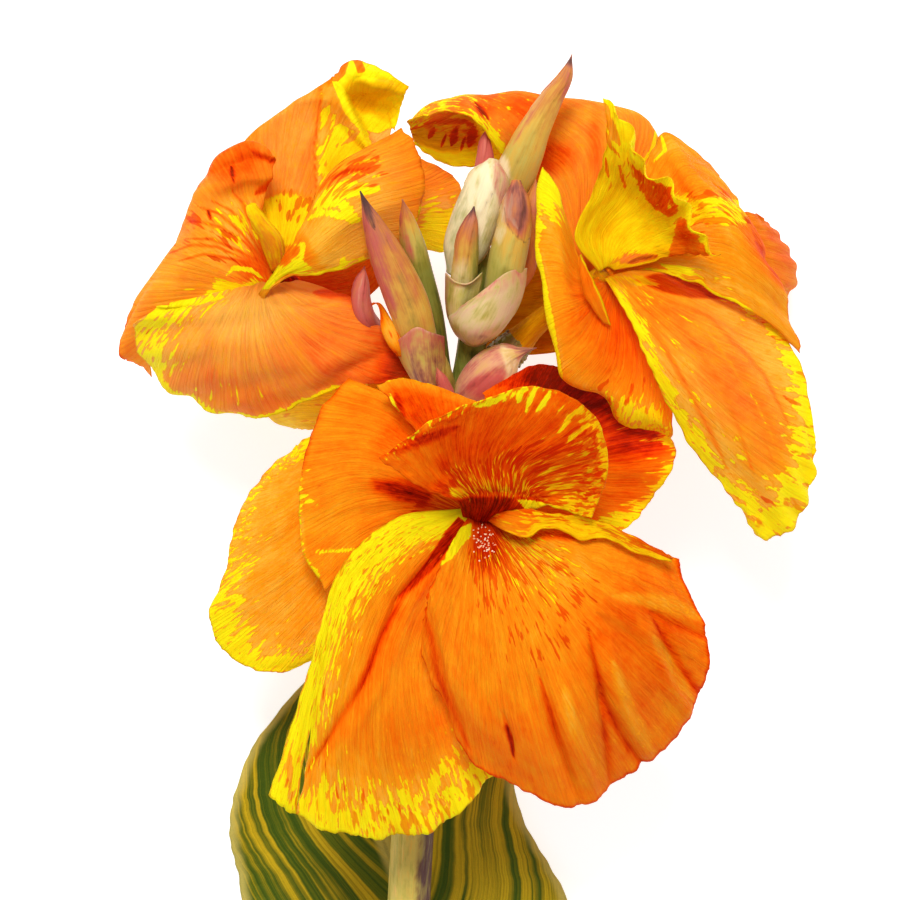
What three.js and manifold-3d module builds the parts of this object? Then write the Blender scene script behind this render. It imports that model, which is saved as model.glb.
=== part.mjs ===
// A canna lily, cut from its clump: one flowering stem with its topmost striped leaf, lying on a
// table. The stem carries three open blooms and a spike of unopened buds wrapped in bracts.
//
// Millimetres, +Z up. The table is z = 0, the stem runs along +Y from its cut end to the buds, and
// the blooms face up. The origin is the flat spot under the leaf on which the cutting rests.
//
// Petals, bracts and the leaf are blades. A blade is a sheet lofted through ribs, which are curves
// that cross it from one margin to the other, listed from its root to its far margin. The sheet is
// then given its thickness.
import * as THREE from 'three';
import { mergeVertices } from 'three/addons/utils/BufferGeometryUtils.js';
import Module from 'manifold-3d';

const wasm = await Module();
wasm.setup();

// Driving dimensions.
const PETAL_THICKNESS = 0.7;
const BRACT_THICKNESS = 0.9;
const LEAF_THICKNESS = 0.9;
const GAP = 0.3; // between neighbours that touch on the plant
const HEAD = [13, 190, 0]; // the middle of the flower head, from the origin
const STEM = {
  path: [[-17, -300, 7.6], [-16, -250, 9.3], [-12, -170, 16], [-10, -105, 23], [-5, -45, 34], [2, 5, 42],
    [5, 22, 47], [6.5, 38, 53], [7.5, 50, 54], [9, 60, 52]],
  radii: [5.8, 5.8, 5.6, 5.4, 5, 4.4, 3.8, 3.2, 2.6, 1.5], steps: 24, sides: 12,
};

const COLOUR = {
  petal: 0xff7a0a, throat: 0xffb400, bud: 0xc8a06a, pinkBud: 0xc8706e,
  bract: 0xc9c49a, stem: 0x76804a, leaf: 0x7a8a2a,
};

// ---------------------------------------------------------------------------------------------
// The blooms. Each blade's ribs run from its root outwards; points are [x, y, z] about the middle
// of the flower head.

const FRONT_BLOOM = {
  hood: {
    ribs: [
      [[4.5, -14, 73], [6.5, -12.8, 73.5], [9.5, -14, 73]],
      [[-5, -10.5, 80], [1, -4, 82], [15, -3, 83], [24, -14, 79]],
      [[-12.5, -6, 86], [-2.5, 5, 90], [17.5, 9, 92], [32.5, 0, 88], [31, -16, 80]],
      [[-18, -2, 88], [-5, 6.5, 93], [8, 12.5, 96], [22.5, 15.5, 96], [35, 9, 93], [39, -4, 88],
        [35, -17, 82]],
    ],
    steps: [8, 14],
  },
  stamen: {
    ribs: [
      [[9, -15, 73], [9, -16.7, 73]],
      [[17.5, -14.5, 80], [16.5, -21, 83]],
      [[27.5, -16, 82], [27.5, -21, 85]],
      [[37.5, -17.5, 81], [37.5, -23, 84]],
      [[47.5, -21.5, 79], [47, -26, 82]],
      [[55.5, -26.5, 76], [55, -28, 77]],
    ],
    steps: [10, 3],
  },
  lip: {
    ribs: [
      [[5.8, -17.5, 71.5], [8, -18, 71.5], [10.2, -17, 72]],
      [[-0.5, -26, 78], [5, -37.5, 82], [16, -40.5, 84], [27.5, -35, 84], [29, -20, 78]],
      [[-5.5, -35, 76], [-0.5, -54.5, 79], [20, -65.5, 80], [45, -50, 80], [44.5, -24, 76]],
      [[-7, -43, 70], [-4, -60, 68], [8, -79.5, 64], [31, -89, 60], [51, -77, 62], [64, -60, 66],
        [64, -47.5, 68], [56, -28, 70]],
    ],
    steps: [9, 16], ruffle: { size: 1.4, waves: 5 },
  },
  lower_left_petal: {
    ribs: [
      [[4.2, -15.5, 70], [4.8, -17, 69.5], [6, -18, 69.5]],
      [[-14, -17.5, 73], [-9, -27.5, 72], [-2.5, -35, 68], [2.5, -32.5, 65]],
      [[-27, -28, 72], [-19.5, -42.5, 71], [-11, -52.5, 67], [0.5, -52.5, 62]],
      [[-34.5, -51, 68], [-29, -66, 66], [-14, -74, 63], [5, -67.5, 58]],
      [[-46, -87, 56], [-37.5, -93.5, 54], [-21, -98, 52], [-2.5, -95.5, 51], [11.5, -82, 52]],
    ],
    steps: [10, 10], ruffle: { size: 1.0, waves: 5 },
  },
  upper_left_petal: {
    ribs: [
      [[4, -13, 69], [3.6, -14.5, 68.5], [4, -16, 68.5]],
      [[-9, 2.5, 70], [-11, -7.5, 70], [-9.5, -18, 66]],
      [[-17.5, 12.5, 68], [-22.5, -2.5, 71], [-21, -24, 66]],
      [[-25.5, 18.5, 63], [-33, 9, 63], [-37.5, -7.5, 64], [-37, -25, 63], [-31, -35.5, 62]],
    ],
    steps: [8, 9],
  },
  top_petal: {
    ribs: [
      [[4.5, -12.5, 69], [5.5, -12, 69], [7, -12, 69]],
      [[-9, 5, 76], [-2.5, 6, 77], [5, 6, 78]],
      [[-19, 16, 76], [-13, 18, 77], [-5, 16.5, 78], [7, 12, 80]],
    ],
    steps: [6, 6],
  },
  right_petal: {
    ribs: [
      [[9, -13, 68.5], [10, -14.5, 68.5], [10, -16, 68.5]],
      [[14, 7.5, 68], [25, 2.5, 66], [28, -19, 66]],
      [[14.5, 15.5, 62], [24, 21, 55], [37.5, 18, 51], [51, 9, 50], [57, 1, 51], [52.5, -11, 55],
        [44.5, -19.5, 59], [37, -23, 62]],
    ],
    steps: [7, 12], ruffle: { size: 0.8, waves: 4 },
  },
  far_left_petal: {
    ribs: [
      [[0.5, 0.5, 52], [0, -2.5, 51], [0.5, -5.5, 51]],
      [[-17.5, 11, 54], [-22.5, -5, 54], [-16, -27.5, 52]],
      [[-37.5, 2.5, 53], [-40, -22.5, 55], [-26, -47.5, 50]],
      [[-38.5, -0.5, 50], [-51, -10.5, 48], [-57, -30, 46], [-61, -42, 43], [-57, -52.5, 42],
        [-44, -56.5, 43], [-31, -52.5, 46]],
    ],
    steps: [8, 12], ruffle: { size: 0.8, waves: 4 },
  },
};

const LEFT_BLOOM = {
  style: {
    ribs: [
      [[-44.8, 43.5, 60], [-42.5, 44.5, 60]],
      [[-48, 52.5, 68], [-43, 54.5, 69]],
      [[-50, 59.5, 72], [-48, 60.5, 73]],
    ],
    steps: [5, 2], thickness: 1.6,
  },
  right_petal: {
    ribs: [
      [[-44.5, 42, 59], [-43, 41.5, 59]],
      [[-48, 38.5, 66], [-46.5, 37.5, 67]],
      [[-44, 44.5, 69], [-41, 42.5, 73]],
      [[-37.5, 54.5, 69], [-33, 50, 78], [-31, 43.5, 76]],
      [[-30.5, 69, 67], [-24, 61, 78], [-21, 47, 74]],
      [[-12, 81, 60], [-7.5, 75, 63], [-6, 65, 63], [-9, 56, 62], [-16, 50, 66]],
    ],
    steps: [10, 8],
  },
  left_petal: {
    ribs: [
      [[-45, 41.8, 58.5], [-45, 43, 58.5], [-44.5, 44.3, 58.5]],
      [[-57, 35.5, 60], [-57, 45, 64], [-49.5, 54.5, 62]],
      [[-66, 33.5, 59], [-66, 45, 66], [-60, 58, 66], [-47, 65, 61]],
      [[-76, 29, 54], [-73.5, 41, 60], [-66.5, 54, 61], [-60.5, 69, 62], [-51, 77, 61], [-43, 73, 62]],
      [[-75.5, 18, 32], [-83.5, 24, 40], [-82, 32.5, 47], [-74, 42, 49], [-67, 53, 49], [-65, 62, 50],
        [-54, 71, 50], [-45, 70, 55]],
    ],
    steps: [10, 12], ruffle: { size: 0.8, waves: 5 },
  },
  lower_petal: {
    ribs: [
      [[-8, 21.5, 43.5], [-7, 20, 43]],
      [[-12, 24, 53], [-9, 19.5, 51]],
      [[-22, 33.5, 60], [-23, 25, 61], [-14, 17, 54]],
      [[-36, 38.5, 65], [-43, 24, 68], [-29, 14.5, 57]],
      [[-54, 37.5, 66], [-63, 25, 63], [-45, 8, 52]],
      [[-71, 35.5, 62], [-80, 32, 55], [-79, 26, 49], [-74, 17.5, 44], [-62.5, 11, 44], [-51, 8, 47]],
    ],
    steps: [10, 10], ruffle: { size: 0.8, waves: 5 },
  },
  top_petal: {
    ribs: [
      [[-43.8, 44.5, 57.5], [-42, 45, 57]],
      [[-51, 62, 53], [-42, 64, 50], [-34.5, 62.5, 54]],
      [[-53, 76, 50], [-42, 78, 48], [-34, 74, 52], [-26, 70, 57]],
      [[-42, 86, 50], [-34, 86, 52], [-22, 74.5, 56]],
      [[-30.5, 93, 54], [-27, 87.5, 54], [-20, 74, 55]],
      [[-24.5, 98, 60], [-22, 91, 50], [-17.5, 76, 51]],
      [[-17.5, 95, 60], [-16, 89, 48], [-14.5, 78, 50]],
      [[-10, 91, 58], [-12, 86, 52], [-13.5, 79, 51]],
    ],
    steps: [13, 7],
  },
  back_petal: {
    ribs: [
      [[-41.5, 43, 56], [-40.5, 41, 56]],
      [[-31, 51, 52], [-30.5, 37, 56.5]],
      [[-19, 62, 46], [-20, 50, 47], [-22, 37.5, 51.5]],
      [[-12, 70, 42], [-10, 60, 41], [-12, 48, 44]],
      [[-7.5, 74, 40], [0, 70.5, 36], [3.3, 66.5, 34], [1, 58, 32], [-1, 51, 32], [-8.2, 52, 36]],
    ],
    steps: [8, 8],
  },
  under_petal: {
    ribs: [
      [[-7, 19.5, 42], [-6.5, 17, 41.5]],
      [[-14, 21.5, 45.5], [-13, 14, 43.5]],
      [[-25, 25, 40], [-26, 12.5, 38], [-21, 6, 36]],
      [[-42.5, 25, 28], [-41, 12.5, 24], [-35, 5, 22]],
      [[-58, 25, 8.2], [-55, 14, 1.2], [-47, 8, 0.2], [-40, 5.5, 2.2]],
    ],
    steps: [8, 7],
  },
  spent_petal: {
    ribs: [
      [[-21, 36.5, 61], [-21, 35, 61]],
      [[-18.5, 36.5, 61.5], [-17.5, 36.8, 61.5]],
      [[-17.8, 33, 61], [-15, 33.5, 62]],
      [[-16.8, 28.8, 61.5], [-14.5, 29.3, 63], [-12.5, 29.3, 61.5]],
      [[-14.5, 24.5, 61], [-12.8, 25, 62], [-11.3, 24.5, 61]],
      [[-13.3, 23, 60.5], [-12, 23.2, 60.5]],
    ],
    steps: [6, 3],
  },
};

const RIGHT_BLOOM = {
  stamen: {
    ribs: [
      [[40, 31, 68.5], [38, 31.5, 69.5]],
      [[36.5, 41, 72], [33, 39, 74.5]],
      [[32.5, 49, 72], [31.8, 48, 73.5]],
    ],
    steps: [5, 2],
  },
  cup_petal: {
    ribs: [
      [[37.2, 44.5, 60], [39.5, 45.8, 58.5], [41, 45, 60]],
      [[31, 53, 64], [40, 54, 57], [50, 46.5, 62]],
      [[36, 67, 66], [46, 62, 60], [56, 48, 66]],
      [[38.5, 78, 72], [46, 69.5, 72], [53.5, 59.5, 72], [62, 48, 71]],
      [[37.5, 88, 74], [44, 80, 78], [47.5, 70.5, 80], [56, 64.5, 81], [60, 57.5, 80], [63, 51.5, 79],
        [68, 48.5, 76]],
    ],
    steps: [8, 12], ruffle: { size: 1.2, waves: 6 },
  },
  lower_right_petal: {
    ribs: [
      [[38.5, 42.5, 61], [39.5, 43.3, 60.5], [41, 43.5, 60]],
      [[39, 42, 66.5], [42.5, 43, 65], [47, 45, 59]],
      [[44.5, 31, 72], [54, 35, 71], [62, 43, 55]],
      [[51, 16, 72], [62.5, 20, 75], [79, 36, 52]],
      [[60, 0, 64], [71, 5, 68], [88, 23, 50]],
      [[70, -12, 54], [81, -7.5, 56], [92, 6, 49]],
      [[77, -21, 46], [81, -23, 45], [87, -19, 45], [91, -10, 46], [92.5, 0, 47]],
    ],
    steps: [11, 10], ruffle: { size: 0.8, waves: 4 },
  },
  lower_middle_petal: {
    ribs: [
      [[37, 42.5, 60], [39.2, 41.5, 60]],
      [[33.2, 44, 65], [42, 36, 61.5]],
      [[30.5, 54, 66], [32, 37.5, 70], [48, 27, 62]],
      [[26.5, 66, 68], [27, 47.5, 73], [32, 27.5, 73], [53, 14, 61]],
      [[23, 71, 66], [21.5, 56, 70], [23, 41, 72], [26, 26, 71], [28, 18.5, 69], [39, 14, 66], [56, 5, 59]],
      [[24, 69, 62], [23.5, 56, 65], [25, 41, 66], [28, 26, 65], [31, 17, 62], [40.5, 6.5, 58],
        [56, 2.5, 54]],
    ],
    steps: [8, 14], ruffle: { size: 0.7, waves: 5 },
  },
  right_petal: {
    ribs: [
      [[39.8, 45, 58.5], [41, 44, 58]],
      [[44, 55, 57], [47, 47, 57]],
      [[48, 71, 57], [58, 58, 62], [58, 45, 62]],
      [[53, 80, 55], [67, 60, 67], [68, 40, 64]],
      [[62.5, 75, 51], [74, 56, 63], [79, 33, 59]],
      [[68, 69.5, 46], [75.5, 55.5, 55], [84, 40, 51], [89, 23, 47]],
    ],
    steps: [9, 10], ruffle: { size: 1.0, waves: 4 },
  },
  top_petal: {
    ribs: [
      [[34.5, 43.5, 55], [35.5, 44, 54.5], [36.5, 44.5, 55]],
      [[30, 52, 50], [36, 55, 48], [41, 54, 45]],
      [[24, 61, 47], [34, 75, 51], [47.5, 84, 47], [54, 77, 40]],
      [[16, 69, 46.5], [22.5, 82.5, 53], [35, 88, 48], [37.5, 77.5, 38]],
      [[12, 75, 55], [12.5, 84, 56], [17.5, 90, 49], [20, 75, 38]],
      [[5, 83, 61], [4.5, 86, 59], [4, 89, 52], [4.5, 80, 43], [6, 71.5, 39]],
      [[-5, 84, 58], [-4.5, 87, 53], [-2.5, 72.5, 40]],
      [[-11, 82.5, 54], [-10.5, 81.5, 51], [-9, 77.5, 44]],
    ],
    steps: [11, 11],
  },
  back_petal: {
    ribs: [
      [[34, 41, 53], [34.8, 39.5, 53]],
      [[33, 42, 47], [36, 31, 46]],
      [[25, 56, 44], [29, 25, 42]],
      [[14, 50, 42], [12, 37.5, 39], [12, 25, 36]],
    ],
    steps: [6, 6],
  },
  far_right_petal: {
    ribs: [
      [[38.5, 44.5, 57], [39.5, 43.2, 56.5]],
      [[50, 50, 50], [52, 45, 49]],
      [[62.5, 58, 50], [66, 42, 48]],
      [[74, 61, 45], [78, 40, 43]],
      [[80, 59, 32], [86, 51, 27], [88, 44, 25], [84, 37, 29]],
      [[82, 57, 6], [86.5, 51, 1], [88.2, 45, 0], [86, 40, 3]],
    ],
    steps: [9, 7],
  },
};
const BLOOMS = { front: FRONT_BLOOM, left: LEFT_BLOOM, right: RIGHT_BLOOM };

// Each bloom stands on its ovary, a small ball whose neck widens into the tube of the petals.
const TUBES = {
  front_bloom_tube: {
    path: [[3, 2, 47], [3, -4, 52], [3.5, -8, 58], [5, -12.5, 64], [7, -15.5, 72]],
    radii: [3.2, 4.6, 3.2, 2.8, 3.8],
  },
  left_bloom_tube: {
    path: [[0, 14, 43], [-5, 19, 42], [-14, 27, 42], [-28, 36, 46], [-43.5, 43.3, 60]],
    radii: [3.2, 4.6, 3, 2.6, 3.4],
  },
  right_bloom_tube: {
    path: [[9, 20, 46], [14, 24, 46], [21, 31, 48], [30, 38, 51], [39.2, 44, 61]],
    radii: [3.2, 4.6, 3, 2.6, 3.4],
  },
};

// Unopened buds, each a spindle on a curved axis.
const BUDS = {
  top_bud: {
    path: [[11.5, 59, 51], [14.8, 66, 54], [18.4, 74, 58], [21, 80, 60.5], [25.2, 87.5, 63], [28.3, 93, 65],
      [30.4, 98.6, 66]],
    radii: [2.5, 5, 4.8, 4, 2.9, 1.9, 0.4], colour: 'bud',
  },
  front_bud: {
    path: [[4.5, 33, 57], [3, 37.5, 60], [3.3, 42.5, 62.2], [3.8, 47.5, 65.5], [4.3, 52.5, 68.5],
      [5.2, 56.5, 70], [6, 60.5, 70]],
    radii: [2.4, 3.2, 3.3, 3.2, 2.8, 1.8, 0.4], colour: 'bud',
  },
  right_bud: {
    path: [[9.5, 34, 57], [12.5, 39, 60], [13.5, 44, 62.5], [14.7, 50, 65], [16, 56, 67], [16.7, 62, 68],
      [16.3, 67, 67]],
    radii: [2.8, 4.2, 4.6, 4.9, 4.2, 3.3, 1], colour: 'pinkBud',
  },
  left_long_bud: {
    path: [[1, 15, 49], [-3, 19.5, 53.5], [-7.5, 26, 57], [-10.5, 36, 59], [-13.3, 42.5, 60.5],
      [-16.5, 50, 61.5], [-19, 56.3, 62], [-22.2, 64, 62]],
    radii: [1.5, 3, 4.6, 5.2, 4.7, 3.6, 2.1, 0.4], colour: 'bud',
  },
  left_rear_bud: {
    path: [[-1.5, 18, 47], [-4, 27, 48.5], [-5.5, 35, 50], [-7.8, 44, 51.5], [-9.3, 51, 52],
      [-10.7, 57.5, 53], [-11.8, 62.2, 53]],
    radii: [2.5, 3.3, 3.5, 3.5, 3.1, 1.8, 0.4], colour: 'bud',
  },
  lower_right_bud: {
    path: [[5, 13.5, 50.5], [6, 15.5, 54], [9, 18, 56.5], [12.5, 20, 58], [16, 22, 58.5],
      [19, 23.5, 58.5], [22, 25.2, 58]],
    radii: [2, 2.8, 4.6, 5, 3.6, 1.8, 0.4], colour: 'pinkBud',
  },
  pink_sepal: {
    path: [[-17, 29, 45.5], [-19.5, 31, 54], [-21.5, 34, 60], [-22.3, 38, 61.5], [-22, 42, 62],
      [-21.3, 46, 62]],
    radii: [0.9, 0.9, 1.8, 2.7, 2.1, 0.3], colour: 'pinkBud',
  },
  rear_pink_tip: {
    path: [[8.6, 68, 53], [8.7, 73, 54], [8.8, 77, 54.5], [9, 80.3, 55]],
    radii: [2.8, 2.3, 1.5, 0.3], colour: 'pinkBud',
  },
  rear_orange_tip: {
    path: [[10.5, 34, 51], [15, 39, 53], [19, 45, 55], [20, 52, 56], [20.8, 58, 57], [21.3, 62, 57],
      [21.5, 66.5, 57]],
    radii: [1.4, 1.6, 2.2, 2.2, 2, 1.5, 0.3], colour: 'bud',
  },
  small_red_tip: {
    path: [[2, 10.5, 48.2], [0.5, 11.5, 55], [-0.5, 13.5, 61], [-2, 17.5, 64], [-3.3, 20.5, 65.5]],
    radii: [0.9, 1, 1.8, 1.4, 0.3], colour: 'pinkBud',
  },
};

// Bracts: the pale scales that wrap the buds. The first is still closed, the rest have opened.
const CLOSED_BRACT = {
  path: [[1.5, 44, 57.5], [3.5, 50, 59.5], [5.8, 56.5, 61], [8, 63, 62], [9.3, 69, 62.5], [9.8, 73, 62]],
  radii: [2.5, 4.5, 5.8, 5.6, 3.8, 0.8],
};
const OPEN_BRACTS = {
  scoop_bract: {
    ribs: [
      [[3.5, 25.5, 52.4], [5.2, 25, 53], [7, 25.5, 52.4]],
      [[1.8, 29, 59], [5.5, 26.9, 62], [10.5, 28, 59]],
      [[-0.4, 33, 60], [3, 30.8, 66], [7.5, 30.1, 68], [12, 31, 66], [15, 32.5, 60]],
      [[1.3, 34.5, 64], [4.5, 35, 69], [9, 35.3, 70.5], [13.8, 35.5, 67.5], [17.2, 36, 61]],
      [[3.3, 36, 68], [6, 37.5, 70.5], [10, 39.3, 71.5], [14.5, 40.5, 69], [18.8, 41.3, 62]],
      [[4.5, 36.5, 68.5], [7, 38.5, 70.5], [10.3, 41.3, 71.5], [14.3, 44.3, 69.5], [19.2, 45.5, 63]],
    ],
    steps: [7, 8],
  },
  left_scoop_bract: {
    ribs: [
      [[2.8, 30, 53.6], [4, 29.5, 54.3], [5.2, 30, 54.4]],
      [[-0.3, 32.5, 57], [2, 31, 60.5], [5.8, 31.5, 60.3]],
      [[-1.2, 37.5, 58], [2.5, 37, 65.5], [7, 37.5, 63]],
      [[-1.2, 41.3, 60], [3, 40.8, 67.3], [8, 42.5, 64]],
      [[-1.1, 44.3, 61.5], [1.6, 41.8, 67.6], [4.5, 41.3, 68.6], [8, 44.3, 65]],
    ],
    steps: [5, 6],
  },
  left_sheath_bract: {
    ribs: [
      [[-1.5, 12, 46], [0, 11.5, 47.6], [1.5, 12, 48.2]],
      [[-8.5, 16.3, 57], [-5, 15.5, 62.5], [-1.5, 16.5, 58]],
      [[-12, 22.5, 57], [-6.5, 22.5, 64.5], [-1.2, 22, 57]],
      [[-14, 27.8, 58], [-8.5, 30.5, 66], [-5.8, 29.3, 66], [-1.4, 28.5, 58]],
    ],
    steps: [5, 6],
  },
};

// ---------------------------------------------------------------------------------------------
// The leaf: a sheath round the foot of the stem that opens into a broad blade with waved margins.
// Its middle lies pressed flat on the table.
const LEAF = {
  ribs: [
    [[-24.3, -298, 8.6], [-22.1, -298, 2.5], [-17, -298, 0], [-11.9, -298, 2.5], [-9.7, -298, 8.6]],
    [[-25, -284, 7.5], [-22.3, -284, 2], [-17, -284, 0], [-11.7, -284, 2], [-9, -284, 7.5]],
    [[-30, -266, 4.5], [-23, -268, 1], [-16.5, -270, 0], [-10, -268, 1], [-3, -266, 4.5]],
    [[-43, -243, 5], [-29, -247, 1], [-15.5, -250, 0], [-3, -247, 1], [11, -243, 5]],
    [[-54, -212, 1], [-34, -216, 0], [-14.5, -220, 0], [6, -216, 0], [26, -212, 2]],
    [[-59, -184, 4], [-37, -188, 0], [-13.5, -192, 0], [10, -188, 0], [33, -184, 0]],
    [[-60, -158, 1], [-37, -162, 0], [-12.5, -166, 0], [12, -162, 0], [36, -158, 4]],
    [[-57, -136, 5], [-36, -138, 0.5], [-12, -141, 0], [12, -138, 0], [34, -135, 1]],
    [[-54.4, -117, 1.5], [-34, -117, 1], [-12.5, -118, 0], [10, -117, 0.5], [31, -117, 4]],
    [[-57.5, -97, 5], [-38, -96, 2.5], [-14, -96, 2], [4, -96, 2], [20, -97, 3]],
    [[-52, -78, 6], [-38, -76, 5], [-16, -75, 5], [-1, -75, 4.5], [14, -78, 3]],
    [[-36, -58, 9], [-28, -55, 9], [-18, -53, 9.5], [-9, -54, 8.5], [2, -56, 7]],
    [[-20, -41, 14], [-18.5, -40, 14], [-17, -39.5, 14], [-15.5, -40, 14], [-14, -41, 13.5]],
  ],
  steps: [22, 10],
};

// ---------------------------------------------------------------------------------------------
// Blades.

const UP = new THREE.Vector3(0, 0, 1);
const vector = (p) => new THREE.Vector3(...p);

// The grid of a blade's middle surface: rows from root to far margin, columns across.
function loftRibs({ ribs, steps: [along, across], ruffle }) {
  const curves = ribs.map((rib) => new THREE.CatmullRomCurve3(rib.map(vector)));
  const grid = Array.from({ length: along + 1 }, () => []);
  for (let j = 0; j <= across; j++) {
    const column = new THREE.CatmullRomCurve3(curves.map((curve) => curve.getPointAt(j / across)));
    for (let i = 0; i <= along; i++) grid[i][j] = column.getPoint(i / along);
  }
  return ruffle ? ruffled(grid, ruffle) : grid;
}

// Waves the far margin of a blade, more towards the edge.
function ruffled(grid, { size, waves }) {
  const normals = gridNormals(grid);
  return grid.map((row, i) => row.map((point, j) => {
    const u = i / (grid.length - 1);
    const v = j / (row.length - 1);
    const reach = u ** 4 * size * Math.sin(2 * Math.PI * waves * v);
    return point.clone().addScaledVector(normals[i][j], reach);
  }));
}

function gridNormals(grid) {
  const rows = grid.length - 1;
  const columns = grid[0].length - 1;
  return grid.map((row, i) => row.map((_, j) => {
    const alongVector = new THREE.Vector3()
      .subVectors(grid[Math.min(i + 1, rows)][j], grid[Math.max(i - 1, 0)][j]);
    const acrossVector = new THREE.Vector3()
      .subVectors(grid[i][Math.min(j + 1, columns)], grid[i][Math.max(j - 1, 0)]);
    return alongVector.cross(acrossVector).normalize();
  }));
}

// Moves a grid's outermost points outwards by a distance, in the sheet.
function widened(grid, distance) {
  const rows = grid.length - 1;
  const columns = grid[0].length - 1;
  const away = (point, inner) => new THREE.Vector3().subVectors(point, inner).setLength(distance);
  return grid.map((row, i) => row.map((point, j) => {
    const moved = point.clone();
    if (i === 0) moved.add(away(point, grid[1][j]));
    if (i === rows) moved.add(away(point, grid[rows - 1][j]));
    if (j === 0) moved.add(away(point, row[1]));
    if (j === columns) moved.add(away(point, row[columns - 1]));
    return moved;
  }));
}

// A closed sheet of one thickness about a grid, with the same triangles on both faces.
function sheetGeometry(grid, thickness) {
  const normals = gridNormals(grid);
  const rows = grid.length;
  const columns = grid[0].length;
  const positions = [];
  for (const side of [1, -1]) {
    grid.forEach((row, i) => row.forEach((point, j) => {
      positions.push(...point.clone().addScaledVector(normals[i][j], side * thickness / 2).toArray());
    }));
  }
  const top = (i, j) => i * columns + j;
  const under = (i, j) => rows * columns + top(i, j);
  const index = [];
  for (let i = 0; i + 1 < rows; i++) {
    for (let j = 0; j + 1 < columns; j++) {
      index.push(top(i, j), top(i + 1, j), top(i + 1, j + 1));
      index.push(top(i, j), top(i + 1, j + 1), top(i, j + 1));
      index.push(under(i, j), under(i + 1, j + 1), under(i + 1, j));
      index.push(under(i, j), under(i, j + 1), under(i + 1, j + 1));
    }
  }
  const wall = (a, b) => {
    index.push(top(...a), top(...b), under(...b), top(...a), under(...b), under(...a));
  };
  for (let i = 0; i + 1 < rows; i++) {
    wall([i + 1, 0], [i, 0]);
    wall([i, columns - 1], [i + 1, columns - 1]);
  }
  for (let j = 0; j + 1 < columns; j++) {
    wall([0, j], [0, j + 1]);
    wall([rows - 1, j + 1], [rows - 1, j]);
  }
  return indexed(positions, index);
}

function indexed(positions, index) {
  const geometry = new THREE.BufferGeometry();
  geometry.setAttribute('position', new THREE.Float32BufferAttribute(positions, 3));
  geometry.setIndex(index);
  return geometry;
}

// A closed round body on a curved axis, with a radius at each point of its path.
function spindleGeometry({ path, radii, steps = 9, sides = 8 }, extra = 0) {
  const axis = new THREE.CatmullRomCurve3(path.map(vector));
  const girth = new THREE.SplineCurve(radii.map((radius, i) => new THREE.Vector2(i, radius)));
  const positions = [];
  const index = [];
  for (let i = 0; i <= steps; i++) {
    const radius = girth.getPoint(i / steps).y + extra;
    const forward = axis.getTangent(i / steps);
    const centre = axis.getPoint(i / steps);
    if (i === 0) centre.addScaledVector(forward, -extra);
    if (i === steps) centre.addScaledVector(forward, extra);
    const side = new THREE.Vector3().crossVectors(forward, UP).normalize();
    const above = new THREE.Vector3().crossVectors(side, forward);
    for (let k = 0; k < sides; k++) {
      const angle = (2 * Math.PI * k) / sides;
      const point = centre.clone()
        .addScaledVector(side, radius * Math.cos(angle))
        .addScaledVector(above, radius * Math.sin(angle));
      positions.push(...point.toArray());
    }
  }
  for (let i = 0; i < steps; i++) {
    for (let k = 0; k < sides; k++) {
      const a = i * sides + k;
      const b = i * sides + ((k + 1) % sides);
      index.push(a, b, b + sides, a, b + sides, a + sides);
    }
  }
  for (let k = 1; k + 1 < sides; k++) {
    index.push(0, k + 1, k);
    index.push(steps * sides, steps * sides + k, steps * sides + k + 1);
  }
  return indexed(positions, index);
}

// The leaf's grid, never below the table.
function leafGrid() {
  const grid = loftRibs(LEAF);
  const lift = LEAF_THICKNESS / 2;
  return grid.map((row) => row.map((point) => point.setZ(Math.max(point.z, 0) + lift)));
}

// ---------------------------------------------------------------------------------------------
// Solids.

function solidOf(geometry) {
  const bare = mergeVertices(geometry, 1e-4);
  const solid = new wasm.Manifold(new wasm.Mesh({
    numProp: 3,
    vertProperties: bare.attributes.position.array,
    triVerts: new Uint32Array(bare.index.array),
  }));
  if (solid.volume() > 0) return solid;
  const turned = bare.index.array;
  for (let i = 0; i < turned.length; i += 3) {
    [turned[i + 1], turned[i + 2]] = [turned[i + 2], turned[i + 1]];
  }
  return new wasm.Manifold(new wasm.Mesh({
    numProp: 3,
    vertProperties: bare.attributes.position.array,
    triVerts: new Uint32Array(turned),
  }));
}

function geometryOf(solid) {
  const { vertProperties, triVerts } = solid.getMesh();
  return indexed(vertProperties, Array.from(triVerts));
}

// A blade's maker: its sheet, or with extra the sheet grown by that much all round.
function blade(shape, usual) {
  const grid = loftRibs(shape);
  const thickness = shape.thickness ?? usual;
  return (extra) => sheetGeometry(extra ? widened(grid, extra) : grid, thickness + 2 * extra);
}

const overlap = (a, b) => [0, 1, 2].every((k) => a.min[k] < b.max[k] && b.min[k] < a.max[k]);

// Pieces in the order in which they keep their shape: each is cut clear of those before it.
const pieces = [];
function add(name, colour, make) {
  pieces.push({ name, colour, make });
}

add('stem', 'stem', (extra) => spindleGeometry(STEM, extra));
for (const [name, tube] of Object.entries(TUBES)) {
  add(name, 'throat', (extra) => spindleGeometry(tube, extra));
}
for (const [name, bud] of Object.entries(BUDS)) {
  add(name, bud.colour, (extra) => spindleGeometry(bud, extra));
}
add('closed_bract', 'bract', (extra) => spindleGeometry(CLOSED_BRACT, extra));
for (const [name, bract] of Object.entries(OPEN_BRACTS)) {
  add(name, 'bract', blade(bract, BRACT_THICKNESS));
}
for (const [bloom, petals] of Object.entries(BLOOMS)) {
  for (const [name, petal] of Object.entries(petals)) {
    add(`${bloom}_bloom_${name}`, 'petal', blade(petal, PETAL_THICKNESS));
  }
}
add('leaf', 'leaf', (extra) => sheetGeometry(leafGrid(), LEAF_THICKNESS + 2 * extra));

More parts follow.
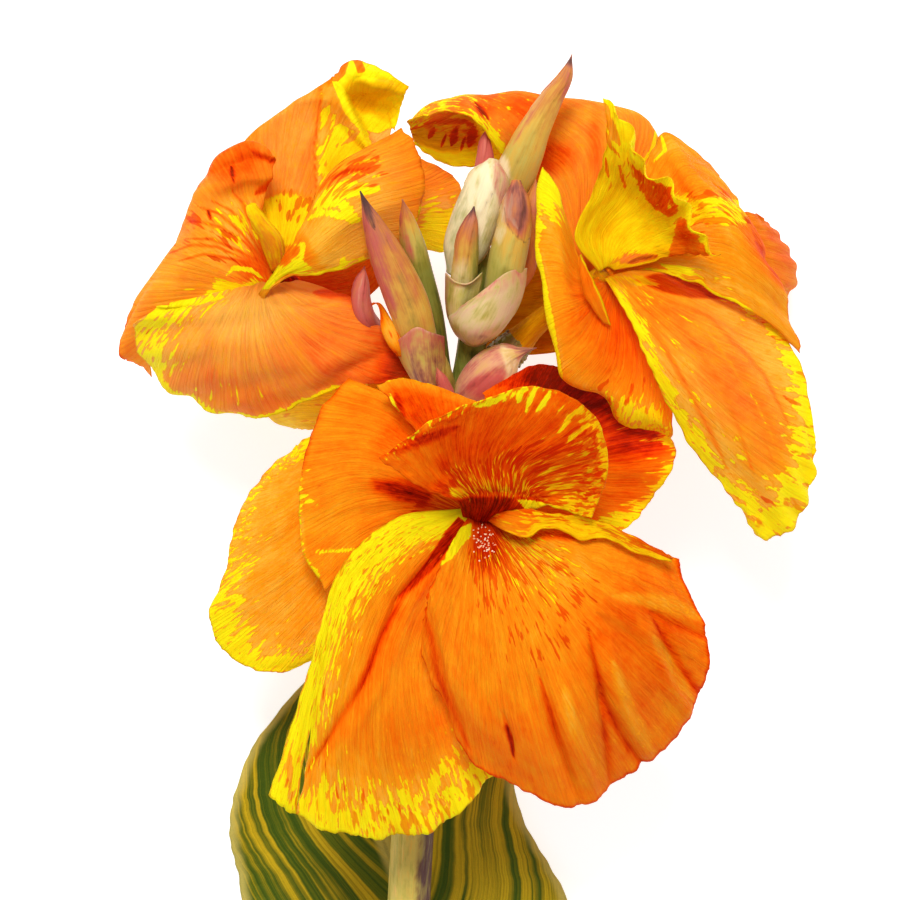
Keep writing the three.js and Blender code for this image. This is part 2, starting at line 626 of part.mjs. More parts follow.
const plant = new THREE.Group();
const placed = [];
for (const { name, colour, make } of pieces) {
  let solid = solidOf(make(0));
  for (const other of placed) {
    if (overlap(solid.boundingBox(), other.boundingBox())) solid = solid.subtract(other);
  }
  const parts = solid.decompose().sort((a, b) => b.volume() - a.volume());
  placed.push(solidOf(make(GAP)));
  const material = new THREE.MeshStandardMaterial({ color: COLOUR[colour], roughness: 0.6 });
  const mesh = new THREE.Mesh(geometryOf(parts[0]), material);
  mesh.name = name;
  mesh.position.set(...HEAD);
  plant.add(mesh);
}

export default plant;
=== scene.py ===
"""A cut canna lily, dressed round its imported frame: three ruffled blooms, a spike of buds wrapped in
bracts, the stem and one striped leaf.

Petals, bracts and the leaf are blades: sheets lofted through ribs that cross them from one margin to
the other, listed from the root outwards. A place on a blade is u, from 0 at its root to 1 at its far
margin, and v, from 0 to 1 across it. Points in the tables are millimetres from the middle of the
flower head, which is HEAD from the part's origin.
"""

import bpy
import numpy as np
from bpy.props import FloatProperty, FloatVectorProperty, IntProperty, PointerProperty
from bpy.types import Operator, Panel, PropertyGroup
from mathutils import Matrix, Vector, noise


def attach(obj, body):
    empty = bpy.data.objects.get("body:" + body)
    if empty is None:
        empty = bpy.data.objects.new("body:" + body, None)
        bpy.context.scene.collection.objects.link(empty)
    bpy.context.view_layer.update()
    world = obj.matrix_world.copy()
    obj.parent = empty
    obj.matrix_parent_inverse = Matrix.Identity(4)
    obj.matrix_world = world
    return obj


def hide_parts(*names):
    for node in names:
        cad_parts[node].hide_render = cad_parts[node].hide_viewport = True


bl_info = {
    "name": "Canna Lily Cutting",
    "version": (1, 0, 0),
    "blender": (4, 5, 0),
    "location": "View3D > Sidebar > Canna",
    "description": "A cut canna lily with three ruffled blooms, a spike of buds and a striped leaf",
    "category": "Add Mesh",
}

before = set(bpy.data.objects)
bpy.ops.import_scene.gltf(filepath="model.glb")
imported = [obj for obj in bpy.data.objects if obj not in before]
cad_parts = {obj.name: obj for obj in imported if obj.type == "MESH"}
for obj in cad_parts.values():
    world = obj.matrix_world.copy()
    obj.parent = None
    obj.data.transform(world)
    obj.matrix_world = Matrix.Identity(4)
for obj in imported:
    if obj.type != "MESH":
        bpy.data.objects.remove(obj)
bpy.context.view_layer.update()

MM = 0.001
HEAD = np.array((13.0, 190.0, 0.0))
BODY = "root"

# Where each bloom, and what else is rough by chance, starts its noise.
SEEDS = {"front": 1, "left": 21, "right": 41, "bracts": 60, "leaf": 80, "pollen": 5}


# ------------------------------------------------------------
# Curves and blades.

def smooth(low, high, value):
    """0 below low, 1 above high, and a soft step between."""
    t = np.clip((value - low) / (high - low), 0, 1)
    return t * t * (3 - 2 * t)


def cubic(b, c, leave, arrive, w):
    """The curve from b, w 0, to c, w 1, that leaves and arrives with the given slopes."""
    return (b + leave * w + (3 * (c - b) - 2 * leave - arrive) * w ** 2
            + (2 * (b - c) + leave + arrive) * w ** 3)


def curve_points(points, t):
    """Places at each t, from 0 to 1, on the centripetal curve through the rows of points."""
    points = np.asarray(points, float)
    padded = np.concatenate([[2 * points[0] - points[1]], points, [2 * points[-1] - points[-2]]])
    place = np.clip(t, 0, 1) * (len(points) - 1)
    first = np.minimum(place.astype(int), len(points) - 2)
    w = (place - first).reshape((-1,) + (1,) * (points.ndim - 1))
    a, b, c, d = (padded[first + k] for k in range(4))
    gap_a, gap_b, gap_c = (np.sum((q - p) ** 2, axis=-1, keepdims=True) ** 0.25
                           for p, q in ((a, b), (b, c), (c, d)))
    gap_b = np.where(gap_b < 1e-4, 1, gap_b)
    gap_a = np.where(gap_a < 1e-4, gap_b, gap_a)
    gap_c = np.where(gap_c < 1e-4, gap_b, gap_c)
    leave = ((b - a) / gap_a - (c - a) / (gap_a + gap_b) + (c - b) / gap_b) * gap_b
    arrive = ((c - b) / gap_b - (d - b) / (gap_b + gap_c) + (d - c) / gap_c) * gap_b
    return cubic(b, c, leave, arrive, w)


def even_points(points, t):
    """The same curve, with each t taken by length along it."""
    fine = np.linspace(0, 1, 201)
    steps = np.linalg.norm(np.diff(curve_points(points, fine), axis=0), axis=1)
    length = np.concatenate([[0], np.cumsum(steps)])
    return curve_points(points, np.interp(t * length[-1], length, fine))


def girth_at(radii, t):
    """The radius at each t of a round body with evenly spaced radii."""
    padded = np.array([radii[0], *radii, radii[-1]], float)
    place = t * (len(radii) - 1)
    first = np.minimum(place.astype(int), len(radii) - 2)
    w = place - first
    a, b, c, d = (padded[first + k] for k in range(4))
    return cubic(b, c, (c - a) / 2, (d - b) / 2, w)


def grid_normals(grid):
    """The sheet's own facing at each point of a grid."""
    facing = np.cross(np.gradient(grid, axis=0), np.gradient(grid, axis=1))
    return facing / np.maximum(np.linalg.norm(facing, axis=-1, keepdims=True), 1e-9)


def lengths(grid, axis):
    """How far each point lies from the grid's first row or column, along the sheet."""
    steps = np.linalg.norm(np.diff(grid, axis=axis), axis=-1)
    return np.insert(np.cumsum(steps, axis=axis), 0, 0, axis=axis)


def taken_at(grid, u, v):
    """A grid read again at other places u and v."""
    rows, columns = grid.shape[0] - 1, grid.shape[1] - 1
    i, j = np.clip(u, 0, 1) * rows, np.clip(v, 0, 1) * columns
    i0, j0 = np.minimum(i.astype(int), rows - 1), np.minimum(j.astype(int), columns - 1)
    a, b = (i - i0)[..., None], (j - j0)[..., None]
    return ((grid[i0, j0] * (1 - a) + grid[i0 + 1, j0] * a) * (1 - b)
            + (grid[i0, j0 + 1] * (1 - a) + grid[i0 + 1, j0 + 1] * a) * b)


def grain(x, y, seed):
    """Smooth noise from -1 to 1 over two arrays."""
    places = np.stack([x, y, np.full(x.shape, seed * 7.31)], axis=-1).reshape(-1, 3)
    return np.array([noise.noise(Vector(p)) for p in places]).reshape(x.shape)


class Blade:
    """A petal, bract or leaf as a fine grid, with the measures that its shape and colour follow."""

    ROUGH = 40  # Steps each way of the rough grid that a blade is first measured on.
    NOTCHES = {"broad": 0.35, "narrow": 1.1, "side": 0.3}  # How close together, for each millimetre.
    DEEPEST = 0.2  # How much of a blade's length or width its notches can take.
    FRILL_REACH = 3.0  # Millimetres from the margin to where a frill has mostly died out.
    FRILL_RATE = 0.22
    VEIN_RATES = (0.5, 0.04)  # Across the veins and along them, for each millimetre.
    HOLLOW_RATES = (0.13, 0.05)

    def __init__(self, ribs, cell, seed, nibble=0.0, floor=None, fan=None):
        self.fan = fan
        rough = self._loft(ribs, self.ROUGH, self.ROUGH)
        rows = max(6, round(lengths(rough, 0)[-1].max() / cell))
        columns = max(4, round(lengths(rough, 1)[:, -1].max() / cell))
        grid = self._loft(ribs, rows, columns)
        u, v = np.meshgrid(np.linspace(0, 1, rows + 1), np.linspace(0, 1, columns + 1),
                           indexing="ij")
        tall, wide = lengths(grid, 0)[-1], lengths(grid, 1)[:, -1]
        broad, narrow = (v * wide.max() * self.NOTCHES[kind] for kind in ("broad", "narrow"))
        bite = 0.5 + 0.5 * grain(broad, v * 0, seed) + 0.25 * grain(narrow, v * 0, seed + 1)
        bite = np.clip(nibble * bite / tall, 0, self.DEEPEST)
        beside = u * tall.max() * self.NOTCHES["side"]
        side = nibble * (0.5 + 0.5 * grain(beside, np.round(v) * 9, seed + 2)) * smooth(0.1, 0.4, u)
        side = np.clip(side / np.maximum(wide[:, None], 1), 0, self.DEEPEST)
        self.u, self.v = u, v
        self.grid = taken_at(grid, u * (1 - bite), side + v * (1 - 2 * side))
        if floor is not None:
            self.grid[..., 2] = np.maximum(self.grid[..., 2], 0) + floor
        self.width, self.length = wide.max(), tall.max()
        self.measure()
        self.across, self.along = self.veins()

    @staticmethod
    def _loft(ribs, rows, columns):
        """A grid of points over the sheet that the ribs cross."""
        v = np.linspace(0, 1, columns + 1)
        crossings = np.stack([even_points(rib, v) for rib in ribs])
        return curve_points(crossings, np.linspace(0, 1, rows + 1))

    def measure(self):
        """How far each point is from each edge, and from the nearest edge but the root."""
        along, across = lengths(self.grid, 0), lengths(self.grid, 1)
        self.edges = {"root": along, "far": along[-1] - along,
                      "left": across, "right": across[:, -1:] - across}
        self.margin = np.minimum(np.minimum(self.edges["left"], self.edges["right"]),
                                 self.edges["far"])
        self.x, self.y = self.grid[..., 0], self.grid[..., 1]

    def veins(self):
        """Two measures in millimetres: across the veins, and along them from the root outwards.

        They run from rib to rib, or fan out from a point: (x, y, heading clockwise from +y in degrees,
        swerve, distance at which they are true to size).
        """
        if self.fan is None:
            return self.v * self.width, self.u * self.length
        x, y, heading, swerve, reach = self.fan
        distance = np.hypot(self.x - x, self.y - y)
        angle = np.arctan2(self.x - x, self.y - y) - np.radians(heading)
        return ((angle + np.pi) % (2 * np.pi) + swerve * distance) * reach, distance

    def push(self, height):
        """Moves each point along the sheet's own facing."""
        self.grid = self.grid + grid_normals(self.grid) * height[..., None]

    def ruffle(self, size, waves):
        """Even waves along the far margin."""
        self.push(self.u ** 4 * size * np.sin(2 * np.pi * waves * self.v))

    def frill(self, size, seed):
        """Small uneven waves that die out inwards from the margins."""
        reach = np.exp(-self.margin / self.FRILL_REACH) * smooth(0.15, 0.45, self.u)
        across, along = self.v * self.width, self.u * self.length
        waves = grain(across * self.FRILL_RATE, along * self.FRILL_RATE, seed)
        self.push(size * reach * waves)

    def corrugate(self, size, seed):
        """Veins as fine ridges from root to margin, with broad gentle hollows between."""
        fine = self.vein_grain(self.VEIN_RATES, seed)
        broad = self.vein_grain(self.HOLLOW_RATES, seed + 3)
        self.push((size * fine + 3 * size * broad) * smooth(0.05, 0.3, self.u))

    def vein_grain(self, rates, seed):
        """Noise that follows the veins."""
        return grain(self.across * rates[0], self.along * rates[1], seed)

    def crease(self, points, width, height):
        """A fold along a line, dying out at its ends: a ridge, or a groove where height is negative."""
        distance, place = line_distance(self.x, self.y, points)
        self.push(height * np.sin(np.pi * place) ** 0.6 * np.exp(-((distance / width) ** 2)))


def line_distance(x, y, points):
    """How far each place is from a line of points, seen from above, and where along it that is."""
    nearest, place = np.full(x.shape, np.inf), np.zeros(x.shape)
    count = len(points) - 1
    for k, ((ax, ay), (bx, by)) in enumerate(zip(points, points[1:])):
        dx, dy = bx - ax, by - ay
        t = np.clip(((x - ax) * dx + (y - ay) * dy) / (dx * dx + dy * dy), 0, 1)
        distance = np.hypot(x - ax - t * dx, y - ay - t * dy)
        place = np.where(distance < nearest, (k + t) / count, place)
        nearest = np.minimum(nearest, distance)
    return nearest, place


# ------------------------------------------------------------
# Strokes of colour on a blade. Each is a weight, 1 inside its shape, 0.5 on the border and 0 outside,
# and its paint, the value that it brings to each of the skin's fields.

def soft_border(distance, width, sharp=1.0):
    """The weight at a distance from the middle of a shape that is width across to its border."""
    return np.clip(0.5 + (1 - distance / width) * sharp, 0, 1)


def rim(side, width, start=0.0, end=1.0, fade=0.07, **paint):
    """A band along a margin, from start to end of it. Two widths make it widen evenly."""
    def weight(blade):
        place = blade.v if side in ("far", "root") else blade.u
        reach = np.interp(place, (start, end), width) if isinstance(width, tuple) else width
        inside = smooth(start - fade, start + fade, place) if start > 0 else 1
        inside = inside * (1 - smooth(end - fade, end + fade, place)) if end < 1 else inside
        return soft_border(blade.edges[side], reach, 0.9) * inside
    return weight, paint


def spot(x, y, wide, high=None, turn=0.0, sharp=1.0, **paint):
    """An oval about a point, seen from above, turned by degrees."""
    def weight(blade):
        angle = np.radians(turn)
        dx, dy = blade.x - x, blade.y - y
        across = dx * np.cos(angle) + dy * np.sin(angle)
        upward = dy * np.cos(angle) - dx * np.sin(angle)
        return soft_border(np.hypot(across / wide, upward / (high or wide)), 1.0, sharp)
    return weight, paint


def line(points, width, sharp=1.0, **paint):
    """A stroke along a line of points, seen from above, thinning out towards both ends."""
    def weight(blade):
        distance, place = line_distance(blade.x, blade.y, points)
        return soft_border(distance, width * np.maximum(0.2, np.sin(np.pi * place) ** 0.5), sharp)
    return weight, paint


def area(points, soft=0.5, **paint):
    """A many-sided patch, seen from above, with a border that fades over soft millimetres."""
    corners = [*points, points[0]]

    def weight(blade):
        distance = line_distance(blade.x, blade.y, corners)[0]
        inside = np.zeros(blade.x.shape, bool)
        for (ax, ay), (bx, by) in zip(corners, corners[1:]):
            if ay != by:
                crossing = ax + (blade.y - ay) * (bx - ax) / (by - ay)
                inside ^= ((ay > blade.y) != (by > blade.y)) & (blade.x < crossing)
        return np.clip(0.5 + np.where(inside, distance, -distance) / soft, 0, 1)
    return weight, paint


def patch(u, v, fade=0.06, **paint):
    """A part of the blade between two places along it and two across it."""
    def weight(blade):
        inside = np.ones(blade.u.shape)
        for place, (low, high) in ((blade.u, u), (blade.v, v)):
            inside = inside * (smooth(low - fade, low + fade, place) if low > 0 else 1)
            inside = inside * (1 - smooth(high - fade, high + fade, place) if high < 1 else 1)
        return inside
    return weight, paint


def painted(blade, fields, ground, strokes):
    """The value of each field over a blade: its ground, then each stroke over what is there.

    A ground is one value, or values at places from the root, u 0, to the far margin, u 1.
    """
    found = {}
    for field in fields:
        value = ground.get(field, 0)
        found[field] = np.interp(blade.u, *zip(*(value if isinstance(value, list) else [(0, value)])))
    for weight, paint in strokes:
        share = weight(blade)
        for field, value in paint.items():
            found[field] += (value - found[field]) * share
    return found


# ------------------------------------------------------------
# Meshes.

def add_object(name, data):
    """Puts a mesh, light or camera in the scene, at the origin."""
    thing = bpy.data.objects.new(name, data)
    bpy.context.scene.collection.objects.link(thing)
    return thing


def places_on(mesh):
    """Where each point of a mesh is, in millimetres about the flower head."""
    places = np.zeros(len(mesh.vertices) * 3)
    mesh.vertices.foreach_get("co", places)
    return places.reshape(-1, 3) / MM - HEAD


def face_outwards(mesh):
    """Turns a closed mesh's faces round if they point inwards."""
    mesh.calc_loop_triangles()
    corners = np.zeros(len(mesh.loop_triangles) * 3, np.int32)
    mesh.loop_triangles.foreach_get("vertices", corners)
    a, b, c = places_on(mesh)[corners.reshape(-1, 3)].transpose(1, 0, 2)
    if np.sum(a * np.cross(b, c)) < 0:
        mesh.flip_normals()


def keep_fields(mesh, fields):
    """Keeps fields on a mesh for its finish: for each, one or three numbers a point, or one for all."""
    count = len(mesh.vertices)
    for name, values in fields.items():
        values = np.ravel(values).astype(np.float32)
        values = np.full(count, values[0]) if len(values) == 1 else values
        kind, key = ("FLOAT", "value") if len(values) == count else ("FLOAT_VECTOR", "vector")
        mesh.attributes.new(name, kind, "POINT").data.foreach_set(key, values)


def new_piece(name, points, faces, fields, material):
    """A smooth piece from points in millimetres about the flower head."""
    mesh = bpy.data.meshes.new(name)
    mesh.from_pydata(((points + HEAD) * MM).tolist(), [], faces)
    mesh.update()
    face_outwards(mesh)
    keep_fields(mesh, fields)
    mesh.polygons.foreach_set("use_smooth", [True] * len(mesh.polygons))
    mesh.materials.append(material)
    return add_object(name, mesh)


def sheet(blade, thickness, slits=()):
    """Points and faces of a closed sheet about a blade. thickness is an array, or one value."""
    rows, columns = blade.grid.shape[:2]
    kept = np.ones((rows - 1, columns - 1), bool)
    grid = blade.grid.copy()
    for v, start, end, width in slits:
        open_slit(grid, kept, v, start, end, width)
    half = grid_normals(blade.grid) * np.broadcast_to(thickness, (rows, columns))[..., None] / 2
    points = np.concatenate([(grid + half).reshape(-1, 3), (grid - half).reshape(-1, 3)])
    index = np.arange(rows * columns).reshape(rows, columns)
    corners = np.stack([index[:-1, :-1], index[1:, :-1], index[1:, 1:], index[:-1, 1:]], axis=-1)
    corners = corners[kept]
    under = rows * columns
    faces = corners.tolist() + (corners[:, ::-1] + under).tolist()
    edges = np.concatenate([corners[:, [k, (k + 1) % 4]] for k in range(4)])
    codes = edges[:, 0].astype(np.int64) * under + edges[:, 1]
    back = edges[:, 1].astype(np.int64) * under + edges[:, 0]
    rims = edges[~np.isin(codes, back)]
    faces += [[b, a, a + under, b + under] for a, b in rims.tolist()]
    return points, faces


def open_slit(grid, kept, v, start, end, width):
    """Opens a slit along a blade by parting two columns, and leaves out the cells between them."""
    rows, columns = kept.shape
    left = int(np.clip(round(v * columns), 1, columns - 2))
    first, last = int(start * rows), int(min(end, 1) * rows)
    kept[first:last, left] = False
    for i in range(first, last + 1):
        share = np.sin(np.pi * np.clip((i - first) / max((end - start) * rows, 1), 0, 1))
        middle = (grid[i, left] + grid[i, left + 1]) / 2
        across = grid[i, left + 1] - grid[i, left]
        across = across / np.linalg.norm(across)
        for column, way in ((left, -1), (left + 1, 1)):
            grid[i, column] = middle + way * across * max(width * share / 2, 0.02)


def skin_places(shape, seed):
    """Where each point lies on a flattened skin, in millimetres, for patterns along the veins."""
    return np.stack([shape.across + SKIN_STEP * seed, shape.along, 0 * shape.u], axis=-1)


def stand_for(piece, node):
    """Makes a piece ride on the part and stand for its node, whose own part is hidden."""
    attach(piece, BODY)
    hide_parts(node)


def make_sheet(node, blade, thickness, slits, fields, material):
    """The closed sheet of a petal, bract or leaf, with its fields on its upper and its under side."""
    points, faces = sheet(blade, thickness, slits)
    fields = {name: np.tile(np.ravel(values), 2) for name, values in fields.items()}
    stand_for(new_piece(f"{node}_blade", points, faces, fields, material), node)


class Shoot:
    """A round body on a curved path, such as a bud, as rings of points from its foot to its tip."""

    SEPALS = 3  # How many lap each other round a bud.
    TWIST = 0.6  # How far round a bud the laps turn from its foot to its tip.

    def __init__(self, path, radii, cell, sides, lap):
        path = np.array(path, float)
        rows = max(12, round(np.linalg.norm(np.diff(path, axis=0), axis=1).sum() / cell))
        t = np.linspace(0, 1, rows + 1)
        centre = curve_points(path, t)
        forward = np.gradient(centre, axis=0)
        forward /= np.linalg.norm(forward, axis=1, keepdims=True)
        side = np.cross(forward, (0, 0, 1))
        side /= np.linalg.norm(side, axis=1, keepdims=True)
        above = np.cross(side, forward)
        self.u, self.v = np.meshgrid(t, np.arange(sides) / sides, indexing="ij")
        radius = girth_at(radii, t)[:, None] * np.ones(sides)
        overlap = (self.v * self.SEPALS + self.TWIST * self.u) % 1
        start = smooth(0.02, 0.2, self.u)
        self.seam = smooth(0.9, 0.99, overlap) * start
        radius += lap * (1 - overlap) * start * (1 - smooth(0.85, 1, self.u)) - lap / 2
        angle = 2 * np.pi * self.v[..., None]
        self.grid = (centre[:, None] + radius[..., None] * (side[:, None] * np.cos(angle)
                                                            + above[:, None] * np.sin(angle)))
        self.ends = centre[[0, -1]]
        self.length = lengths(self.grid, 0)[-1].max()
        self.width = 2 * np.pi * radius.max()
        self.across, self.along = self.v * self.width, self.u * self.length
        self.x, self.y = self.grid[..., 0], self.grid[..., 1]

    def points_and_faces(self):
        """The rings' points and then the two ends, and the faces between them."""
        rows, sides = self.u.shape
        index = np.arange(rows * sides).reshape(rows, sides)
        turned = np.roll(index, -1, axis=1)
        faces = np.stack([index[:-1], turned[:-1], turned[1:], index[1:]], axis=-1)
        faces = faces.reshape(-1, 4).tolist()
        foot, tip = rows * sides, rows * sides + 1
        faces += [[foot, b, a] for a, b in zip(index[0].tolist(), turned[0].tolist())]
        faces += [[tip, a, b] for a, b in zip(index[-1].tolist(), turned[-1].tolist())]
        return np.concatenate([self.grid.reshape(-1, 3), self.ends]), faces

    @staticmethod
    def with_ends(values):
        """A field's values with those of the two end points added."""
        return np.concatenate([values.reshape(-1), [values[0].mean(), values[-1].mean()]])


# ------------------------------------------------------------
# Node graphs, for finishes and for geometry.

class Wire:
    """An output of a node, on which arithmetic adds Math nodes."""

    def __init__(self, graph, socket):
        self.graph, self.socket = graph, socket

    def math(self, operation, *others):
        inputs = dict(enumerate((self, *others)))
        return self.graph.node("ShaderNodeMath", {"operation": operation}, inputs)

    def __add__(self, other):
        return self.math("ADD", other)

    def __radd__(self, other):
        return self + other

    def __sub__(self, other):
        return self.math("SUBTRACT", other)

    def __rsub__(self, other):
        return self * -1 + other

    def __mul__(self, other):
        return self.math("MULTIPLY", other)

    def step(self, low, high):
        """0 below low, 1 above high, soft between. Either limit may be a wire."""
        return self.graph.node("ShaderNodeMapRange", {"interpolation_type": "SMOOTHSTEP"},
                               {"Value": self, "From Min": low, "From Max": high})

    def scaled(self, *factors):
        """A vector multiplied along each axis."""
        return self.vector("MULTIPLY", factors)

    def moved(self, *offsets):
        """A vector moved along each axis."""
        return self.vector("ADD", offsets)

    def vector(self, operation, other):
        return self.graph.node("ShaderNodeVectorMath", {"operation": operation}, {0: self, 1: other})


class Graph:
    """A node tree that is written as expressions."""

    def __init__(self, tree):
        self.tree = tree

    def node(self, kind, settings=None, sockets=None, output=0):
        """Adds a node: its settings first, then the values or links of its sockets."""
        node = self.tree.nodes.new(kind)
        for name, value in (settings or {}).items():
            if name == "stops":
                self.set_stops(node.color_ramp, value)
            else:
                setattr(node, name, value)
        for name, value in (sockets or {}).items():
            if isinstance(value, Wire):
                self.tree.links.new(value.socket, node.inputs[name])
            else:
                node.inputs[name].default_value = value
        return Wire(self, node.outputs[output]) if node.outputs else node

    @staticmethod
    def set_stops(ramp, stops):
        """Gives a colour ramp its stops, each a place and a colour."""
        while len(ramp.elements) < len(stops):
            ramp.elements.new(0.5)
        for element, (place, colour) in zip(ramp.elements, stops):
            element.position = place
            element.color = (*colour, 1)


class Finish(Graph):
    """A material, written as expressions."""

    def __init__(self, name):
        self.material = bpy.data.materials.new(name)
        self.material.use_nodes = True
        super().__init__(self.material.node_tree)
        self.tree.nodes.clear()

    def field(self, name):
        return self.node("ShaderNodeAttribute", {"attribute_name": name}, output=2)

    def vector_field(self, name):
        return self.node("ShaderNodeAttribute", {"attribute_name": name}, output=1)

    def places(self):
        return self.node("ShaderNodeTexCoord", output=3)

    def noise(self, vector, detail, roughness=0.55):
        return self.node("ShaderNodeTexNoise", {}, {"Vector": vector, "Scale": 1.0, "Detail": detail,
                                                    "Roughness": roughness})

    def cells(self, vector):
        return self.node("ShaderNodeTexVoronoi", {}, {"Vector": vector, "Scale": 1.0})

    def ramp(self, value, *stops):
        return self.node("ShaderNodeValToRGB", {"stops": stops}, {"Fac": value})

    def mix(self, share, below, above):
        """One colour over another, by its share. Either may be a wire."""
        below, above = (colour if isinstance(colour, Wire) else (*colour, 1) for colour in (below, above))
        return self.node("ShaderNodeMix", {"data_type": "RGBA"}, {0: share, 6: below, 7: above}, output=2)

    def bump(self, height, distance, strength):
        return self.node("ShaderNodeBump", {},
                         {"Height": height, "Distance": distance, "Strength": strength})

    def finish(self, colour, roughness, normal=None, **constants):
        """The material with this surface. The constants are named for its other sockets."""
        sockets = {"Base Color": colour, "Roughness": roughness}
        if normal:
            sockets["Normal"] = normal
        for name, value in constants.items():
            sockets[name.replace("_", " ")] = value
        surface = self.node("ShaderNodeBsdfPrincipled", {}, sockets)
        self.node("ShaderNodeOutputMaterial", {}, {"Surface": surface})
        return self.material


def srgb(red, green, blue):
    """A colour from its 0 to 255 screen values."""
    def linear(value):
        value /= 255
        return value / 12.92 if value <= 0.04045 else ((value + 0.055) / 1.055) ** 2.4
    return linear(red), linear(green), linear(blue)


# ------------------------------------------------------------
# Finishes. The fields named here are painted on the meshes; noise only roughens their borders.

PETAL_FIELDS = ("gold", "tone", "shade", "fleck", "streak", "dots", "blush")
BUD_FIELDS = ("ripe", "pink", "cream", "green", "brown")
SKIN_STEP = 40  # Millimetres of pattern between one piece's skin and the next.


def petal_finish(settings):
    """Orange petal skin that turns yellow where it is painted gold, with flecks, streaks and dots, and
    painted shade that browns it where the shade field is high.
    """
    f = Finish("petal skin")
    blade = f.vector_field("blade")
    fields = {name: f.field(name) for name in PETAL_FIELDS + ("margin",)}
    fibre = f.noise(blade.scaled(1.7, 0.06, 1), 4, 0.6) - 0.5
    vein = f.noise(blade.scaled(0.5, 0.035, 1).moved(3, 11, 0), 3) - 0.5
    thread = f.noise(blade.scaled(0.8, 0.025, 1).moved(17, 5, 0), 2) - 0.5
    cloud = f.noise(blade.scaled(0.15, 0.12, 1), 4, 0.6) - 0.5
    feather = f.noise(blade.scaled(0.9, 0.22, 1), 3, 0.5) - 0.5
    mottle = f.noise(blade.scaled(0.9, 0.4, 1).moved(7, 2, 0), 3, 0.6) - 0.5
    blotch = f.noise(blade.scaled(0.24, 0.12, 1).moved(13, 5, 0), 3) - 0.5
    tone = fields["tone"] + cloud * 0.5 + fibre * 0.36 + vein * 0.3 + mottle * 0.3 - fields["gold"] * 0.2
    orange = f.ramp(tone, (0.0, srgb(255, 184, 56)), (0.2, srgb(255, 157, 22)), (0.42, settings.orange),
                    (0.6, srgb(248, 94, 2)), (0.76, srgb(226, 54, 1)), (0.88, srgb(184, 26, 1)),
                    (1.0, srgb(110, 8, 1)))
    # Low shade values make the yellow golden. Higher ones brown it as painted shade in hollows and shadows.
    warmth_and_shade = fields["shade"] + cloud * 0.5 + fibre * 0.25 + blotch * 0.4
    yellow = f.ramp(warmth_and_shade, (0.0, settings.gold), (0.25, srgb(252, 200, 10)), (0.5, srgb(224, 164, 8)),
                    (0.75, srgb(190, 112, 5)), (1.0, srgb(146, 62, 3)))
    pale = fields["blush"] * (0.6 + cloud * 1.6 + vein * 0.8)
    orange = f.mix(pale, orange, f.ramp(tone, (0.1, srgb(255, 188, 104)), (0.6, srgb(246, 96, 34))))
    # Painted shade: the orange turns brown-red where the shade field is high.
    shaded = f.mix(fields["shade"] * 0.75, orange, srgb(134, 30, 2))
    dabs = mottle.step(0.05, 0.14) * (1 - tone.step(0.3, 0.55))
    shaded = f.mix(dabs * 0.4, shaded, srgb(255, 178, 20))
    ragged = fields["fleck"]
    gold_here = fields["gold"] + feather * (0.5 + ragged * 2.8) + blotch * (0.25 + ragged * 1.6)
    amber = f.mix(fields["shade"] * 0.8, srgb(248, 150, 8), srgb(206, 100, 4))
    skin = f.mix(gold_here.step(0.26, 0.48) * 0.7, shaded, amber)
    skin = f.mix(gold_here.step(0.47, 0.6), skin, yellow)
    dash = f.noise(blade.scaled(0.5, 0.13, 1).moved(31, 7, 0), 2)
    start = 0.74 - fields["streak"] * 0.24
    dash_skin = f.ramp(fields["tone"], (0.2, srgb(240, 82, 4)), (0.5, srgb(224, 46, 2)),
                       (0.8, srgb(180, 16, 1)))
    dash_skin = f.mix(fields["gold"].step(0.5, 0.75), dash_skin, srgb(240, 138, 12))
    skin = f.mix(dash.step(start, start + 0.06) * 0.85, skin, dash_skin)
    cells = f.cells(blade.scaled(0.36, 0.26, 1))
    limit = fields["dots"] * 0.45 + feather * 0.5
    spots = 1 - cells.step(limit - 0.06, limit + 0.02)
    skin = f.mix(spots * fields["dots"].step(0.1, 0.3) * 0.85, skin, srgb(222, 104, 12))
    threads = 1 - thread.math("ABSOLUTE").step(0.004, 0.03)
    skin = f.mix(threads * 0.24, skin, skin.scaled(0.9, 0.68, 0.5))
    edge = 1 - fields["margin"].step(0.05, 0.5)
    skin = f.mix(edge * cloud.step(-0.1, 0.1) * 0.5, skin, srgb(206, 84, 4))
    grains = f.noise(f.places().scaled(2600, 2600, 2600), 2)
    skin = f.mix((grains - 0.5) * 0.6 + 0.18, skin, skin.scaled(1.05, 0.8, 0.6))
    height = fibre * 0.6 + vein * 0.3 + grains * 0.15 - threads * 0.1
    return f.finish(skin, 0.58 + fibre * 0.3, f.bump(height, 0.0007, 0.9),
                    Specular_IOR_Level=0.06, Specular_Tint=(1, 0.42, 0.08, 1), Subsurface_Scale=1.0,
                    Subsurface_Weight=0.15, Subsurface_Radius=(0.0016, 0.0006, 0.0001))


